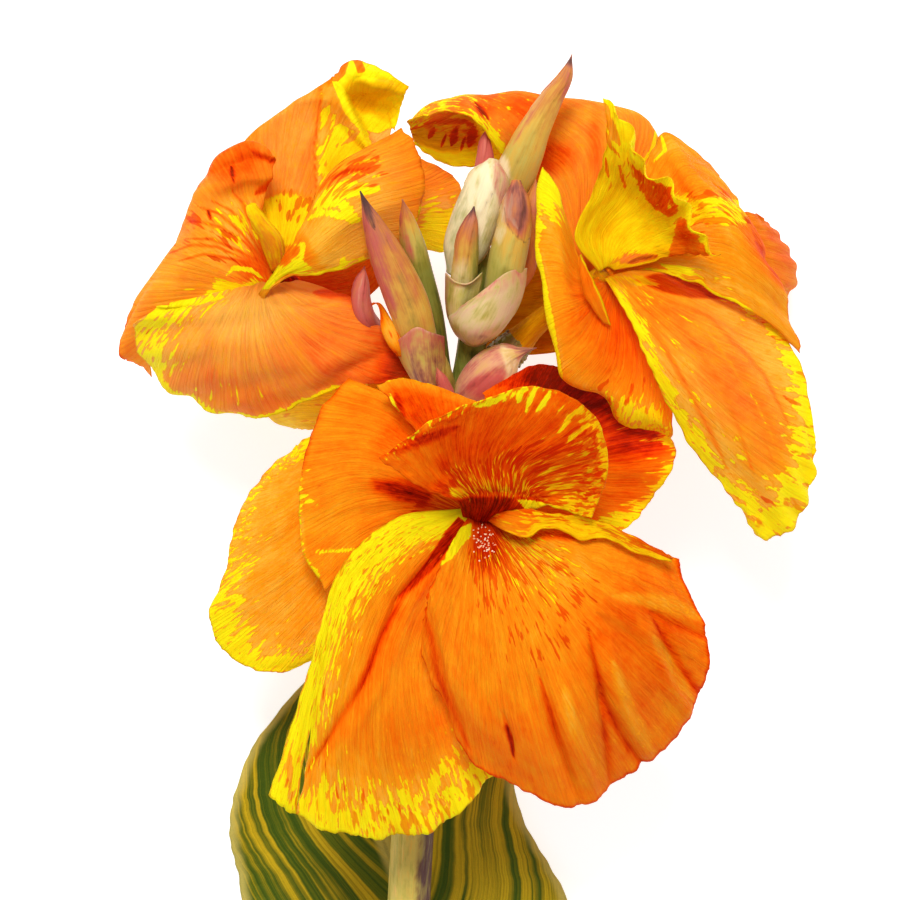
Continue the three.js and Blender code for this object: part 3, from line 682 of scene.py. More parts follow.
def bud_finish(settings):
    """Bud, bract and stem skin: waxy, from olive through cream and tan to a purple-brown tip."""
    f = Finish("bud skin")
    blade = f.vector_field("blade")
    fields = {name: f.field(name) for name in BUD_FIELDS}
    fibre = f.noise(blade.scaled(1.6, 0.07, 1), 4)
    vein = f.noise(blade.scaled(1.1, 0.03, 1).moved(5, 9, 0), 3)
    cloud = f.noise(blade.scaled(0.3, 0.15, 1), 3)
    ripe = fields["ripe"] + (cloud - 0.5) * 0.4 + (fibre - 0.5) * 0.25
    skin = f.ramp(ripe, (0.0, srgb(84, 92, 34)), (0.2, srgb(150, 146, 52)), (0.36, srgb(204, 184, 88)),
                  (0.5, srgb(226, 178, 72)), (0.66, srgb(212, 130, 62)), (0.82, srgb(184, 106, 80)),
                  (1.0, srgb(82, 50, 54)))
    rough = (cloud - 0.5) * 1.1 + (fibre - 0.5) * 0.4
    for name, colour in (("green", srgb(140, 148, 66)), ("cream", srgb(248, 232, 186)),
                         ("pink", settings.pink), ("brown", srgb(86, 54, 54))):
        here = fields[name] + rough * fields[name].step(0.02, 0.4)
        skin = f.mix(here.step(0.15, 0.85), skin, colour)
    grains = f.noise(f.places().scaled(2200, 2200, 2200), 2)
    skin = f.mix(vein.step(0.5, 0.66) * 0.25, skin, skin.scaled(0.84, 0.66, 0.6))
    skin = f.mix(fibre.step(0.45, 0.7) * 0.22, skin, skin.scaled(0.86, 0.8, 0.7))
    height = fibre * 0.5 + vein * 0.3 + grains * 0.2
    return f.finish(skin, 0.36 + fibre * 0.25, f.bump(height, 0.0004, 0.7), Specular_IOR_Level=0.35,
                    Specular_Tint=(1, 0.85, 0.65, 1), Subsurface_Weight=0.1,
                    Subsurface_Radius=(0.001, 0.0007, 0.0003), Subsurface_Scale=1.0)


def leaf_finish(settings):
    """Striped leaf skin: dark green bands between golden olive ones, along the side veins."""
    f = Finish("leaf skin")
    veins = f.vector_field("blade")
    margin = f.field("margin")
    midrib = f.field("midrib")
    band = f.noise(veins.scaled(0.11, 0.005, 1), 3, 0.5)
    fine = f.noise(veins.scaled(0.7, 0.012, 1), 3)
    cloud = f.noise(f.places().scaled(60, 60, 60), 3)
    dark = (band + (fine - 0.5) * 0.12 + (cloud - 0.5) * 0.1 + f.field("deep")).step(0.44, 0.56)
    light_skin = f.mix(fine.step(0.35, 0.7), settings.light, srgb(150, 128, 10))
    dark_skin = f.mix(fine.step(0.35, 0.75), settings.dark, srgb(96, 104, 12))
    skin = f.mix(dark, light_skin, dark_skin)
    skin = f.mix((1 - midrib.step(1.2, 4.0)) * 0.8, skin, srgb(190, 172, 84))
    edge = 1 - (margin + (cloud - 0.5) * 2).step(0.6, 3.4)
    skin = f.mix(edge * 0.75, skin, srgb(206, 186, 96))
    grains = f.noise(f.places().scaled(1500, 1500, 1500), 2)
    skin = f.mix(grains.step(0.3, 0.75) * 0.25, skin, skin.scaled(0.78, 0.8, 0.7))
    height = fine * 0.7 + grains * 0.3
    return f.finish(skin, 0.42 + fine * 0.2, f.bump(height, 0.0005, 0.7), Specular_IOR_Level=0.3,
                    Specular_Tint=(0.9, 0.9, 0.4, 1))


def cut_finish():
    """The cut end of the stem: pale wet flesh dotted with darker strands inside a green rim."""
    f = Finish("cut stem flesh")
    places = f.places()
    cells = f.cells(places.scaled(1300, 1300, 1300))
    cloud = f.noise(places.scaled(400, 400, 400), 3)
    flesh = f.mix(cloud.step(0.35, 0.65), srgb(226, 222, 164), srgb(196, 200, 128))
    flesh = f.mix((1 - cells.step(0.18, 0.32)) * 0.7, flesh, srgb(128, 138, 70))
    return f.finish(flesh, 0.4 + cloud * 0.15, f.bump(cells, 0.0003, 0.6), Specular_IOR_Level=0.5)


def pollen_finish():
    """Cream and pink crumbs of pollen."""
    f = Finish("pollen crumbs")
    cloud = f.noise(f.places().scaled(900, 900, 900), 2)
    skin = f.ramp(cloud, (0.35, srgb(236, 140, 90)), (0.5, srgb(250, 206, 160)),
                  (0.65, srgb(255, 236, 206)))
    return f.finish(skin, 0.7 + cloud * 0.1, None, Specular_IOR_Level=0.2)


def floor_finish():
    """A pale even floor that glows a little, so that it stays near white under the soft light."""
    f = Finish("plain pale floor")
    cloud = f.noise(f.places().scaled(9, 9, 9), 2)
    return f.finish(f.mix(cloud, (0.61, 0.61, 0.61), (0.63, 0.63, 0.63)), 0.9 + cloud * 0.02,
                    Emission_Color=(1, 1, 1, 1), Emission_Strength=0.7)


# ------------------------------------------------------------
# The blooms. Each petal has its ribs, and may have a ruffle (height and number of the far margin's
# waves), a nibble (depth of the notches in its margins), a thickness, the point that its veins fan out
# from, and creases (line, width, height) and slits (place across, start, end, width). Its skin is the
# ground, and the strokes painted over that in order. gold is how yellow the skin is, tone how red the
# orange is (its deepest reds also paint shade and shadows, its palest values painted highlights), shade
# how brown (painted shade and shadows, and the gold and amber of the yellow), blush how pale and pink
# (partly a painted sheen), fleck how broken the border of the yellow is, streak how many red dashes
# follow the veins, and dots how many round spots lie on the yellow.

FRONT_BLOOM = {}
FRONT_BLOOM["hood"] = dict(ribs=[
    [(3.2, -16.5, 69.5), (8.5, -17.8, 69), (14.5, -17, 69.5)],
    [(1.5, -12.6, 77), (8, -11.3, 81), (15, -11.4, 81.5), (21, -15, 77)],
    [(-5, -10.5, 80), (1, -4, 82), (15, -3, 83), (24, -14, 79)],
    [(-12.5, -6, 86), (-2.5, 5, 90), (17.5, 9, 92), (32.5, 0, 88), (31, -16, 80)],
    [(-18, -2, 88), (-5, 6.5, 93), (8, 12.5, 96), (22.5, 15.5, 96), (35, 9, 93), (39, -4, 88),
     (35, -17, 82)],
], ground=dict(tone=[(0, 1), (0.25, 0.82), (0.5, 0.68), (0.8, 0.6), (1, 0.58)], fleck=0.2), strokes=[
    spot(-9, -3, 8, 5, 20, tone=0.48), line([(-19, -1), (-12, 1), (-6, 3), (2, 6)], 1.5, tone=0.84),
    rim("far", 1.3, 0.05, 0.55, gold=0.42), rim("far", 3, 0, 0.5, fleck=0.8),
    line([(5, 11), (9, 11.5), (14, 13.5), (19, 15)], 0.9, gold=0.8),
    line([(21, 15.5), (19.5, 12), (18.5, 9)], 0.8, gold=0.85),
    line([(24.5, 14.5), (23, 11.5), (21, 9)], 0.8, gold=0.85),
    line([(17.5, 15), (16.5, 11.5)], 0.7, gold=0.85),
    line([(33, 10.5), (29, 8), (26.5, 4)], 0.7, gold=0.8),
    line([(35, 7), (31, 4.5), (28, 1)], 0.6, gold=0.8), rim("far", (2, 8), 0.64, gold=0.7),
    rim("far", 12, 0.55, fleck=0.8), rim("far", 9, 0.6, shade=0.34),
    area([(-1, -5), (3, -2), (12, -1), (27, -1), (36, 4), (38, -10), (20, -11.3), (2, -11)], 4, gold=0.24),
    area([(0, -8), (4, -6), (12, -5.5), (18, -6.5), (22, -11), (2, -11)], 3, gold=0.4),
    area([(22, -8), (30, -4), (37, 0), (38, -12), (26, -14)], 4, gold=0.42),
    area([(-1, -5), (3, -2), (27, -1), (36, 4), (38, -10), (2, -11)], 4, shade=0.5),
    area([(-1, -4), (12, 0), (36, 5), (38, -12), (2, -12)], 4, fleck=0.7),
    area([(-2, -4), (12, 0), (36, 8), (40, -12), (0, -12)], 3, streak=1.05),
    area([(-4, -3), (8, 1), (26, 1), (20, -11.3), (2, -11)], 4, tone=0.7),
    spot(2, -10.2, 2.2, 1.2, gold=0.75),
    # Painted shade: deep red at the hood's mouth, over its root.
    area([(0, -13), (5, -11.4), (17, -11.6), (21, -13), (17, -19), (2, -19)], gold=0),
    area([(0, -13), (5, -11.5), (17, -11.6), (21, -13), (17, -19), (2, -19)], tone=0.92, streak=0),
    area([(16.5, -12), (21, -12.5), (30, -14.5), (36, -17.5), (26, -18), (20, -16)], gold=0.95,
          shade=0.14),
    rim("far", 9, 0.6, tone=0.6), spot(20, -13, 4, 2, tone=0.8),
], creases=[([(1, -11.6), (8, -10.6), (15, -10.6), (22, -12)], 1.2, 0.8)])
FRONT_BLOOM["stamen"] = dict(ribs=[
    [(9, -14, 70), (9.5, -17.6, 70)],
    [(13, -13.2, 75), (13.5, -20, 77)],
    [(19, -13.8, 78), (19.5, -22, 79.5)],
    [(23, -15, 79), (22.5, -20, 80)],
    [(28, -15.4, 79.5), (27.5, -20.4, 80.5)],
    [(33, -16, 79.5), (32.5, -22.8, 80)],
    [(38, -17.5, 79), (37.5, -22.2, 79.5)],
    [(43, -19.5, 78.5), (42.5, -24.4, 79)],
    [(48.5, -22.3, 77), (48, -26.6, 77.5)],
    [(55.5, -26.5, 74.5), (55, -28.2, 75)],
], ground=dict(
    gold=[(0, 0.1), (0.18, 0.3), (0.32, 0.66), (0.8, 0.62), (1, 0.4)], shade=0.3, tone=0.46, fleck=0.7,
    streak=0.3
), strokes=[
    # The first spot is painted shade: deep red at the stamen's root, under the hood.
    spot(10, -15.5, 3, 2.5, tone=0.86), spot(17, -19, 4, 3, tone=0.36), spot(51, -25, 9, 3, -25, gold=0.1),
    spot(50, -25, 8, 3, -25, tone=0.6), line([(14, -14), (24, -16.2), (34, -18)], 0.9, tone=0.7),
    rim("right", 1.4, 0.2, gold=0.95),
], nibble=1, creases=[([(16, -17), (30, -18), (44, -21.5)], 1.4, 0.9)])
FRONT_BLOOM["lip"] = dict(ribs=[
    [(4.6, -16.5, 69.5), (8, -17.5, 68.5), (12, -16.5, 69.5)],
    [(-0.8, -24.5, 77), (5, -37.5, 82), (16, -40.5, 84), (27.5, -35, 83), (29, -18.5, 76)],
    [(-5.5, -35, 76), (-0.5, -54.5, 79), (20, -65.5, 80), (45, -50, 80), (45, -21.5, 75)],
    [(-7, -43, 70), (-4, -60, 68), (8, -79.5, 64), (31, -89, 60), (51, -77, 62), (64, -60, 66),
     (64, -47.5, 68), (57, -26.5, 70)],
], ground=dict(tone=[(0, 0.9), (0.1, 0.6), (0.25, 0.36), (1, 0.38)]), strokes=[
    spot(4, -46, 9, 16, 12, tone=0.34), spot(24, -30, 19, 10, -12, tone=0.22),
    # spot(46, -46) is painted shade, darker orange over the lip's right part.
    spot(18, -48, 10, 14, tone=0.31), spot(46, -46, 14, 14, tone=0.5),
    spot(18, -76, 14, 10, -30, tone=0.44),
    area([(10, -20), (24, -23), (36, -32), (34, -42), (20, -44), (6, -40), (4, -30)], 6, streak=1.05),
    spot(22, -45, 14, 12, streak=0.72), spot(18, -27, 14, 6, -10, gold=0.42),
    spot(20, -30, 17, 12, -10, fleck=0.8), spot(22, -40, 14, 10, -20, gold=0.16),
    area([(5.5, -18), (2, -19.5), (-1.5, -24), (-2.5, -29), (0.5, -27), (4, -22.5), (5.8, -21)],
          gold=0.86),
    # Painted shade: the deep reds at the lip's root, under the hood.
    area([(5.5, -16), (11, -16), (13.5, -20.5), (13, -28), (8, -31), (5, -26)], 4, tone=0.74),
    area([(5.5, -16), (11, -16), (13, -20.5), (11.5, -26), (6.5, -26), (5, -23)], 1, gold=0),
    spot(8.7, -17.2, 3, 1.8, tone=0.96),
    area([(6, -20), (13, -19), (18, -30), (8, -34), (3, -28)], 3, streak=1.25),
    line([(14, -22), (26, -21), (36, -22)], 1.2, tone=0.7), rim("far", 0.8, tone=0.72),
    # From here to the slit mark, the dark tone and shade lines along the folds are painted shade in their
    # grooves, the pale tone lines are painted highlights on their crests, and the shade spread over the
    # right and lower part is painted shade.
    rim("left", 0.9, tone=0.7), line([(22, -56), (27, -72), (33, -88)], 1, 0.6, tone=0.68),
    line([(34, -45), (38, -62), (43, -72), (49, -80)], 0.9, 0.6, tone=0.76),
    line([(37, -60), (39, -74), (40, -86)], 0.9, 0.6, tone=0.66),
    line([(50, -42), (57, -54), (64, -63)], 1, 0.6, tone=0.76),
    line([(44, -37), (55, -43), (64, -47)], 1, 0.6, tone=0.66),
    line([(-6, -40), (-2, -58), (5, -74)], 1.2, 0.6, tone=0.64), spot(50, -52, 13, 4, -50, shade=0.34),
    line([(28, -58), (34, -82)], 1.7, tone=0.16), line([(40, -52), (45, -66), (50, -75)], 1.6, tone=0.2),
    line([(50, -46), (60, -62)], 1.6, tone=0.24),
    line([(34, -48), (38, -62), (43, -72), (49, -80)], 1.6, 0.6, shade=0.36),
    area([(44, -30), (64, -34), (64, -66), (50, -84), (30, -90), (34, -60), (40, -42)], 10, shade=0.27),
    line([(36, -40), (48, -47), (60, -52)], 1.5, 0.6, shade=0.45),
    line([(40, -36), (54, -38), (62, -42)], 1.8, tone=0.2),
    line([(22, -58), (27, -72), (33, -87)], 1.6, 0.6, shade=0.3), spot(32, -78, 6, 9, 20, tone=0.36),
    # Painted shade: a dark line for a small tear, in the dark that shows through it.
    line([(13.4, -67), (15.2, -72), (15.8, -76)], 0.6, tone=0.95, shade=0.6),
], ruffle=(1.2, 5), nibble=1.3, creases=[
    ([(22, -54), (27, -72), (33, -89)], 1.2, -2.2), ([(27, -54), (31, -72), (37, -88)], 1.7, 2.2),
    ([(34, -44), (38, -62), (43, -72), (50, -81)], 1.2, -2.2),
    ([(38, -46), (42, -62), (50, -77)], 1.7, 2.2), ([(37, -58), (39, -74), (41, -87)], 1.1, -1.5),
    ([(50, -40), (57, -54), (65, -64)], 1.2, -2), ([(47, -43), (54, -58), (61, -68)], 1.7, 1.9),
    ([(44, -37), (55, -43), (65, -47)], 1.2, -1.4), ([(-6, -36), (-2, -58), (6, -76)], 1.6, -1.3),
    ([(2, -34), (4, -58), (13, -78)], 2.4, 1.2), ([(12, -40), (14, -60), (22, -80)], 3, 0.8),
    ([(13, -64), (15.2, -72), (16, -78)], 0.7, -1.4),
])
FRONT_BLOOM["lower_left_petal"] = dict(ribs=[
    [(3.2, -14.5, 69), (4.5, -17, 68.5), (7.5, -18.5, 68.5)],
    [(-14, -16.8, 73), (-9, -27.5, 72), (-2.5, -35, 68), (2.5, -32.5, 65)],
    [(-27, -28, 72), (-19.5, -42.5, 71), (-11, -52.5, 67), (0.5, -52.5, 62)],
    [(-34.5, -51, 68), (-29, -66, 66), (-14, -74, 63), (5, -67.5, 58)],
    [(-46, -87, 56), (-37.5, -93.5, 54), (-21, -98, 52), (-2.5, -95.5, 51), (11.5, -82, 52)],
], ground=dict(tone=[(0, 0.6), (0.2, 0.32), (1, 0.2)]), strokes=[
    rim("left", (8, 14), gold=0.8), rim("left", (11, 24), 0.1, fleck=1), rim("left", (5, 8), gold=1),
    rim("far", 12, gold=0.8), rim("far", 22, fleck=1), rim("far", 16, gold=0.5), rim("far", 5.5, gold=1),
    area([(3, -15), (-14, -15.5), (-26, -23), (-30, -32), (-22, -28), (-12, -21.5), (2, -18.5)], 2,
          gold=0.98),
    line([(3, -21), (-12, -37), (-19, -56), (-31, -76), (-36, -84)], 3.4, gold=0),
    line([(3, -21), (-12, -37), (-19, -56), (-31, -76)], 3.4, tone=0.44),
    # Painted shade: the deep red on the side of the fold, and the dark line along its groove.
    area([(2, -16.5), (4.5, -18.5), (-3.5, -29), (-9, -34.5), (-13.2, -37.8), (-12.8, -36), (-6, -27.5),
          (-1.5, -20.5)], tone=0.86, gold=0),
    line([(-10, -34), (-17, -46), (-20, -54), (-24, -62), (-38, -84)], 0.9, 0.7, tone=0.74),
    spot(-13, -70, 13, 10, tone=0.34), spot(-11, -72, 11, 9, shade=0.22), rim("far", 14, 0.25, streak=0.8),
    rim("left", 16, 0.2, streak=0.6),
], ruffle=(1, 5), nibble=1.3, creases=[
    ([(5, -18), (-13, -37), (-21, -58), (-38, -84)], 1.2, -1.9),
    ([(1, -25), (-10, -38), (-17, -58), (-32, -84)], 1.6, 1),
    ([(-20, -30), (-23, -48), (-34, -66)], 2, 0.7),
], slits=[(0.13, 0.84, 1, 1.3)])
FRONT_BLOOM["upper_left_petal"] = dict(ribs=[
    [(4, -12.4, 70), (3.4, -14.5, 69), (5, -17, 68.5)],
    [(-5.5, 3.5, 70), (-11, -7.5, 70), (-9.5, -18.5, 66)],
    [(-11.5, 12, 69), (-22.5, -2.5, 71), (-21, -24, 66)],
    [(-25.5, 18.5, 63), (-33, 9, 63), (-37.5, -7.5, 64), (-37, -25, 63), (-31, -35.5, 62)],
], ground=dict(tone=[(0, 0.85), (0.2, 0.6), (0.45, 0.4), (1, 0.34)]), strokes=[
    rim("far", 1, 0.5, 0.95, gold=0.7), rim("far", 4, 0.4, fleck=0.9), spot(-6, 8, 12, 6, 35, tone=0.56),
    # Painted shadow: this deep red patch under the hood's left end.
    area([(-19.5, -7), (-12.5, -7.2), (-2, -9), (4, -12), (3.5, -16), (-3, -14.5), (-12.5, -12.6),
          (-19, -10.6)], 2, tone=0.84),
    area([(-4, -10.5), (2, -12), (3, -15.5), (-6, -15)], 1.5, tone=0.5),
    area([(-8, -11), (2, -11), (3.5, -16.5), (-10, -15.5)], 1.5, streak=1.1),
    rim("far", 0.7, 0, 0.5, tone=0.56), spot(-28, -20, 10, 14, tone=0.28),
    line([(-38, -11), (-33, -13.5)], 0.9, gold=0.6), line([(-34, -25.5), (-22, -24.5)], 0.6, gold=0.8),
], creases=[([(-8, -6), (-24, 0), (-34, 6)], 2.4, 0.6), ([(-8, -13), (-24, -16), (-36, -20)], 2.2, -0.6)])
FRONT_BLOOM["top_petal"] = dict(ribs=[
    [(4.5, -12.5, 69), (5.5, -12, 69), (7, -12, 69)],
    [(-9, 5, 76), (-2.5, 6, 77), (5, 6, 78)],
    [(-19, 16, 76), (-13, 18, 77), (-5, 16.5, 78), (7, 12, 80)],
], ground=dict(tone=0.5), strokes=[
    spot(-6, 8, 10, 4, -30, tone=0.66), line([(-13.5, 14), (-12.6, 10.5), (-11, 8)], 0.8, tone=0.8),
    line([(-14.8, 14), (-13.6, 10.5), (-12.4, 8.5)], 0.6, gold=0.8), rim("far", 0.7, 0, 0.6, gold=0.5),
    rim("far", 2, tone=0.34),
], nibble=1, creases=[([(-14, 16), (-13, 12), (-12, 8)], 0.9, -1.2)])
FRONT_BLOOM["right_petal"] = dict(ribs=[
    [(9, -13, 69), (10, -14.5, 68.5), (13, -17.5, 68.5)],
    [(9, 9, 69), (24, 2.5, 66), (28, -19.5, 66)],
    [(8, 14.5, 66), (16, 19.5, 60), (24, 21.5, 55), (37.5, 18, 51), (51, 9, 50), (57, 1, 51),
     (52.5, -11, 55), (44.5, -19.5, 59), (37, -23, 62)],
], ground=dict(tone=0.52), strokes=[
    # The first four spots, deep red and brown, are a painted shadow of the right bloom's lower petals.
    spot(32, 16, 20, 9, -15, tone=0.96), spot(47, 3, 11, 5, 15, tone=0.84),
    spot(38, 10, 14, 8, shade=0.64), spot(33, 17, 13, 5, -12, shade=0.84), spot(44, -12, 10, 4, tone=0.48),
    spot(46, -9, 7, 5, shade=0.34), rim("far", (1.5, 5), 0.5, gold=0.8), rim("far", 10, 0.45, fleck=1),
    spot(34, 4, 9, 14, shade=0.3), spot(41, -19, 5, 3, gold=0.9),
], ruffle=(0.8, 4), nibble=1, creases=[
    ([(26, -10), (40, -8), (54, -10)], 2, 0.8), ([(26, -4), (40, 0), (54, -3)], 2, -0.8),
])
FRONT_BLOOM["far_left_petal"] = dict(ribs=[
    [(0.5, 0.5, 52), (0, -2.5, 51), (0.5, -5.5, 51)],
    [(-17.5, 11, 54), (-22.5, -5, 54), (-16, -27.5, 52)],
    [(-37.5, 2.5, 53), (-40, -22.5, 55), (-26, -47.5, 50)],
    [(-38.5, -0.5, 50), (-51, -10.5, 48), (-57, -30, 46), (-61, -42, 43), (-57, -52.5, 42),
     (-44, -56.5, 43), (-31, -52.5, 46)],
], ground=dict(tone=[(0, 0.5), (0.4, 0.24), (1, 0.08)]), strokes=[
    rim("left", 5, gold=0.85), rim("left", 8, fleck=0.8), rim("far", 9, 0.42, gold=0.84),
    rim("far", 3, 0.4, gold=0.95), rim("far", 5, 0, 0.5, gold=0.45), rim("far", 20, 0.3, fleck=1),
    rim("far", 8, fleck=0.9),
], ruffle=(0.8, 4), nibble=1.2)

LEFT_BLOOM = {}
LEFT_BLOOM["style"] = dict(ribs=[
    [(-44.5, 44.5, 60), (-43, 45.5, 61.5), (-41.3, 46.3, 60)],
    [(-47.2, 51, 66), (-44.6, 52, 68.6), (-41.6, 53, 66.5)],
    [(-49.6, 55.6, 70), (-47.6, 56.6, 72.3), (-45.4, 57.7, 70.5)],
    [(-50.8, 59.4, 71.5), (-49.7, 60.2, 73), (-48.2, 61, 72)],
    [(-50.5, 60.6, 72), (-49.8, 61, 72.6), (-49.2, 61.3, 72.2)],
], ground=dict(gold=[(0, 0.5), (0.5, 0.54), (1, 0.66)], shade=0.2, tone=0.1), strokes=[
    rim("right", 1, gold=0.9), rim("far", 1.2, gold=0.9),
], thickness=1.8)
LEFT_BLOOM["right_petal"] = dict(ribs=[
    [(-44.5, 42, 59), (-43, 41.5, 59)],
    [(-48, 38.5, 65), (-46.5, 37.5, 66)],
    [(-44, 44.5, 68), (-41, 42.5, 71)],
    [(-37.5, 54.5, 68), (-33, 50, 75), (-31, 43.5, 71)],
    [(-30.5, 69, 66), (-24, 61, 71), (-21, 47, 64.5)],
    [(-12, 81, 60), (-7.5, 75, 61.5), (-6, 65, 60), (-9, 56, 58), (-16, 50, 59)],
], ground=dict(tone=0.22, fleck=0.2), strokes=[
    # spot(-20, 54) is painted light: paler orange where the bud's shadow falls.
    rim("far", 8, tone=0.36), spot(-20, 54, 11, 8, tone=0.04), spot(-16, 62, 8, 14, blush=0.3),
    area([(-36, 58), (-30, 70), (-18, 76), (-14, 68), (-26, 62)], 3, streak=1.1),
    area([(-34, 62), (-30, 66.5), (-24, 68), (-20, 66), (-28, 62)], 2, gold=0.62),
    area([(-33, 62), (-29, 64), (-23, 64.5), (-17.3, 66), (-16.8, 64.3), (-22, 63), (-26, 62), (-22, 57),
          (-23, 56), (-28, 60), (-34, 60)], 0.8, gold=0.9),
    area([(-37, 56), (-33, 59.5), (-29, 59.4), (-25.5, 58.8), (-24, 56), (-27, 57), (-31, 57.8),
          (-35, 57)], 0.8, gold=0.9),
    line([(-24, 71), (-20, 72), (-16, 72)], 0.6, gold=0.8), line([(-26, 69), (-17, 68)], 0.5, gold=0.8),
    area([(-38, 52), (-34, 66), (-14, 72), (-14, 62), (-24, 54)], 3, fleck=0.6),
    area([(-36, 55.5), (-31, 57.5), (-23, 55), (-21, 48), (-30, 46), (-34, 48), (-36, 52)], 1, gold=0),
    area([(-37, 56), (-31, 57.5), (-22, 55), (-21, 47), (-30, 45), (-35, 50)], 2, tone=0.02),
    line([(-33, 63.5), (-30, 67.5), (-25, 70)], 0.6, tone=0.62),
    line([(-32.5, 62.5), (-28.8, 65), (-22.5, 65.8)], 0.5, tone=0.62),
    line([(-31, 66.5), (-26, 69), (-20, 70)], 0.5, tone=0.6),
    area([(-47, 40), (-45, 43.5), (-40, 48.5), (-38, 52.5), (-36.8, 53.2), (-35.5, 50.5), (-36.2, 47),
          (-33.8, 45), (-37, 44), (-41, 43.5), (-45, 40)], gold=1),
    spot(-40.8, 47.3, 1.4, 1.9, -20, gold=0), spot(-38.2, 49.2, 1.2, 1.7, -10, gold=0),
    spot(-37.4, 52, 1.3, 0.8, gold=0), spot(-39, 48.5, 4, 4, tone=0.5), rim("right", 1.2, 0.5, gold=0.8),
    rim("right", 5, 0.4, fleck=0.8),
    area([(-31, 45.5), (-28, 44), (-27.5, 47.5), (-26.5, 48.5), (-25, 46), (-22, 47.5), (-23, 45)], 0.8,
          gold=0.9),
    rim("far", 0.8, 0.55, gold=0.7),
], creases=[([(-36, 50), (-26, 57), (-12, 62)], 2.2, -1)])
LEFT_BLOOM["left_petal"] = dict(ribs=[
    [(-47.5, 38, 58), (-45, 42, 58.5), (-43.5, 45.3, 57.5)],
    [(-57.5, 35, 60), (-56, 45, 63.5), (-46.5, 55.5, 58)],
    [(-66, 33.5, 59), (-66, 45, 66), (-59, 58, 65), (-45, 66, 58)],
    [(-76, 29, 54), (-73.5, 41, 60), (-66.5, 54, 61), (-60.5, 69, 62), (-51, 77, 61), (-43, 73, 62)],
    [(-75.5, 18, 32), (-83.5, 24, 40), (-82, 32.5, 47), (-74, 42, 49), (-67, 53, 49), (-65, 62, 50),
     (-54, 71, 50), (-45, 70, 55)],
], ground=dict(tone=[(0, 0.6), (0.15, 0.34), (0.6, 0.2), (1, 0.3)], fleck=0.2, blush=0.2), strokes=[
    spot(-55, 53, 8, 7, tone=0.04), spot(-54, 55, 7, 6, gold=0.36), spot(-56, 54, 12, 10, fleck=0.6),
    spot(-61, 54, 11, 9, -35, streak=0.8), spot(-65, 57, 6, 9, 30, tone=0.3),
    spot(-48, 46, 5, 4, tone=0.62),
    *(line(arc, 0.4, tone=0.56) for arc in (
        [(-45.5, 45.5), (-51.3, 51.8), (-57, 55.5), (-63.8, 57), (-68, 56.2)],
        [(-45.5, 45), (-52.5, 49.5), (-59.5, 52.5), (-66.3, 52.5)],
        [(-45.5, 46), (-50, 53.8), (-54.5, 59.5), (-60, 62.5)],
        [(-46.3, 45), (-53.8, 47.5), (-61.3, 48.8), (-67.5, 47)],
        [(-45.5, 46.5), (-49, 54.5), (-51.8, 61.3), (-54.5, 65)],
        [(-47, 47.5), (-52, 54), (-57.5, 58.8), (-63, 60.8)],
        [(-52, 47.8), (-58, 50.6), (-64, 51), (-70, 49)])),
    *(line(arc, 0.4, gold=0.5) for arc in (
        [(-49, 51.5), (-54, 57.5), (-59, 60.5)], [(-50, 49.5), (-56, 53.5), (-62, 54.8)],
        [(-48, 52.5), (-51.5, 58), (-55, 62)])),
    area([(-62, 38.5), (-58.5, 42.5), (-52, 41.5), (-49, 43), (-46.5, 41.5), (-48, 39), (-54, 37)], 1.5,
          gold=0.9),
    spot(-57, 40, 12, 4, 10, fleck=0.9),
    line([(-56, 43.5), (-54, 45.5), (-50, 45), (-47, 43)], 0.6, gold=0.9), spot(-56, 72, 12, 6, tone=0.6),
    line([(-41, 69), (-46, 66), (-49, 64)], 1, tone=0.78),
    line([(-50, 75), (-45, 72.5), (-41, 72)], 0.7, tone=0.74), spot(-42.5, 72.3, 1, 1.6, gold=0.8),
    line([(-54.7, 71), (-54, 67)], 0.5, tone=1), line([(-60.5, 60), (-59.5, 57)], 0.45, tone=0.95),
    rim("far", 0.7, tone=0.55),
], ruffle=(0.8, 5), nibble=1.2, fan=(-44, 38, -50, 0.004, 26), creases=[
    ([(-42, 72), (-50, 72.5), (-64, 68)], 1.5, 1.6), ([(-42, 69), (-52, 68), (-64, 63)], 1.4, -1.7),
    ([(-44, 64), (-54, 63), (-66, 56)], 2, 1),
])
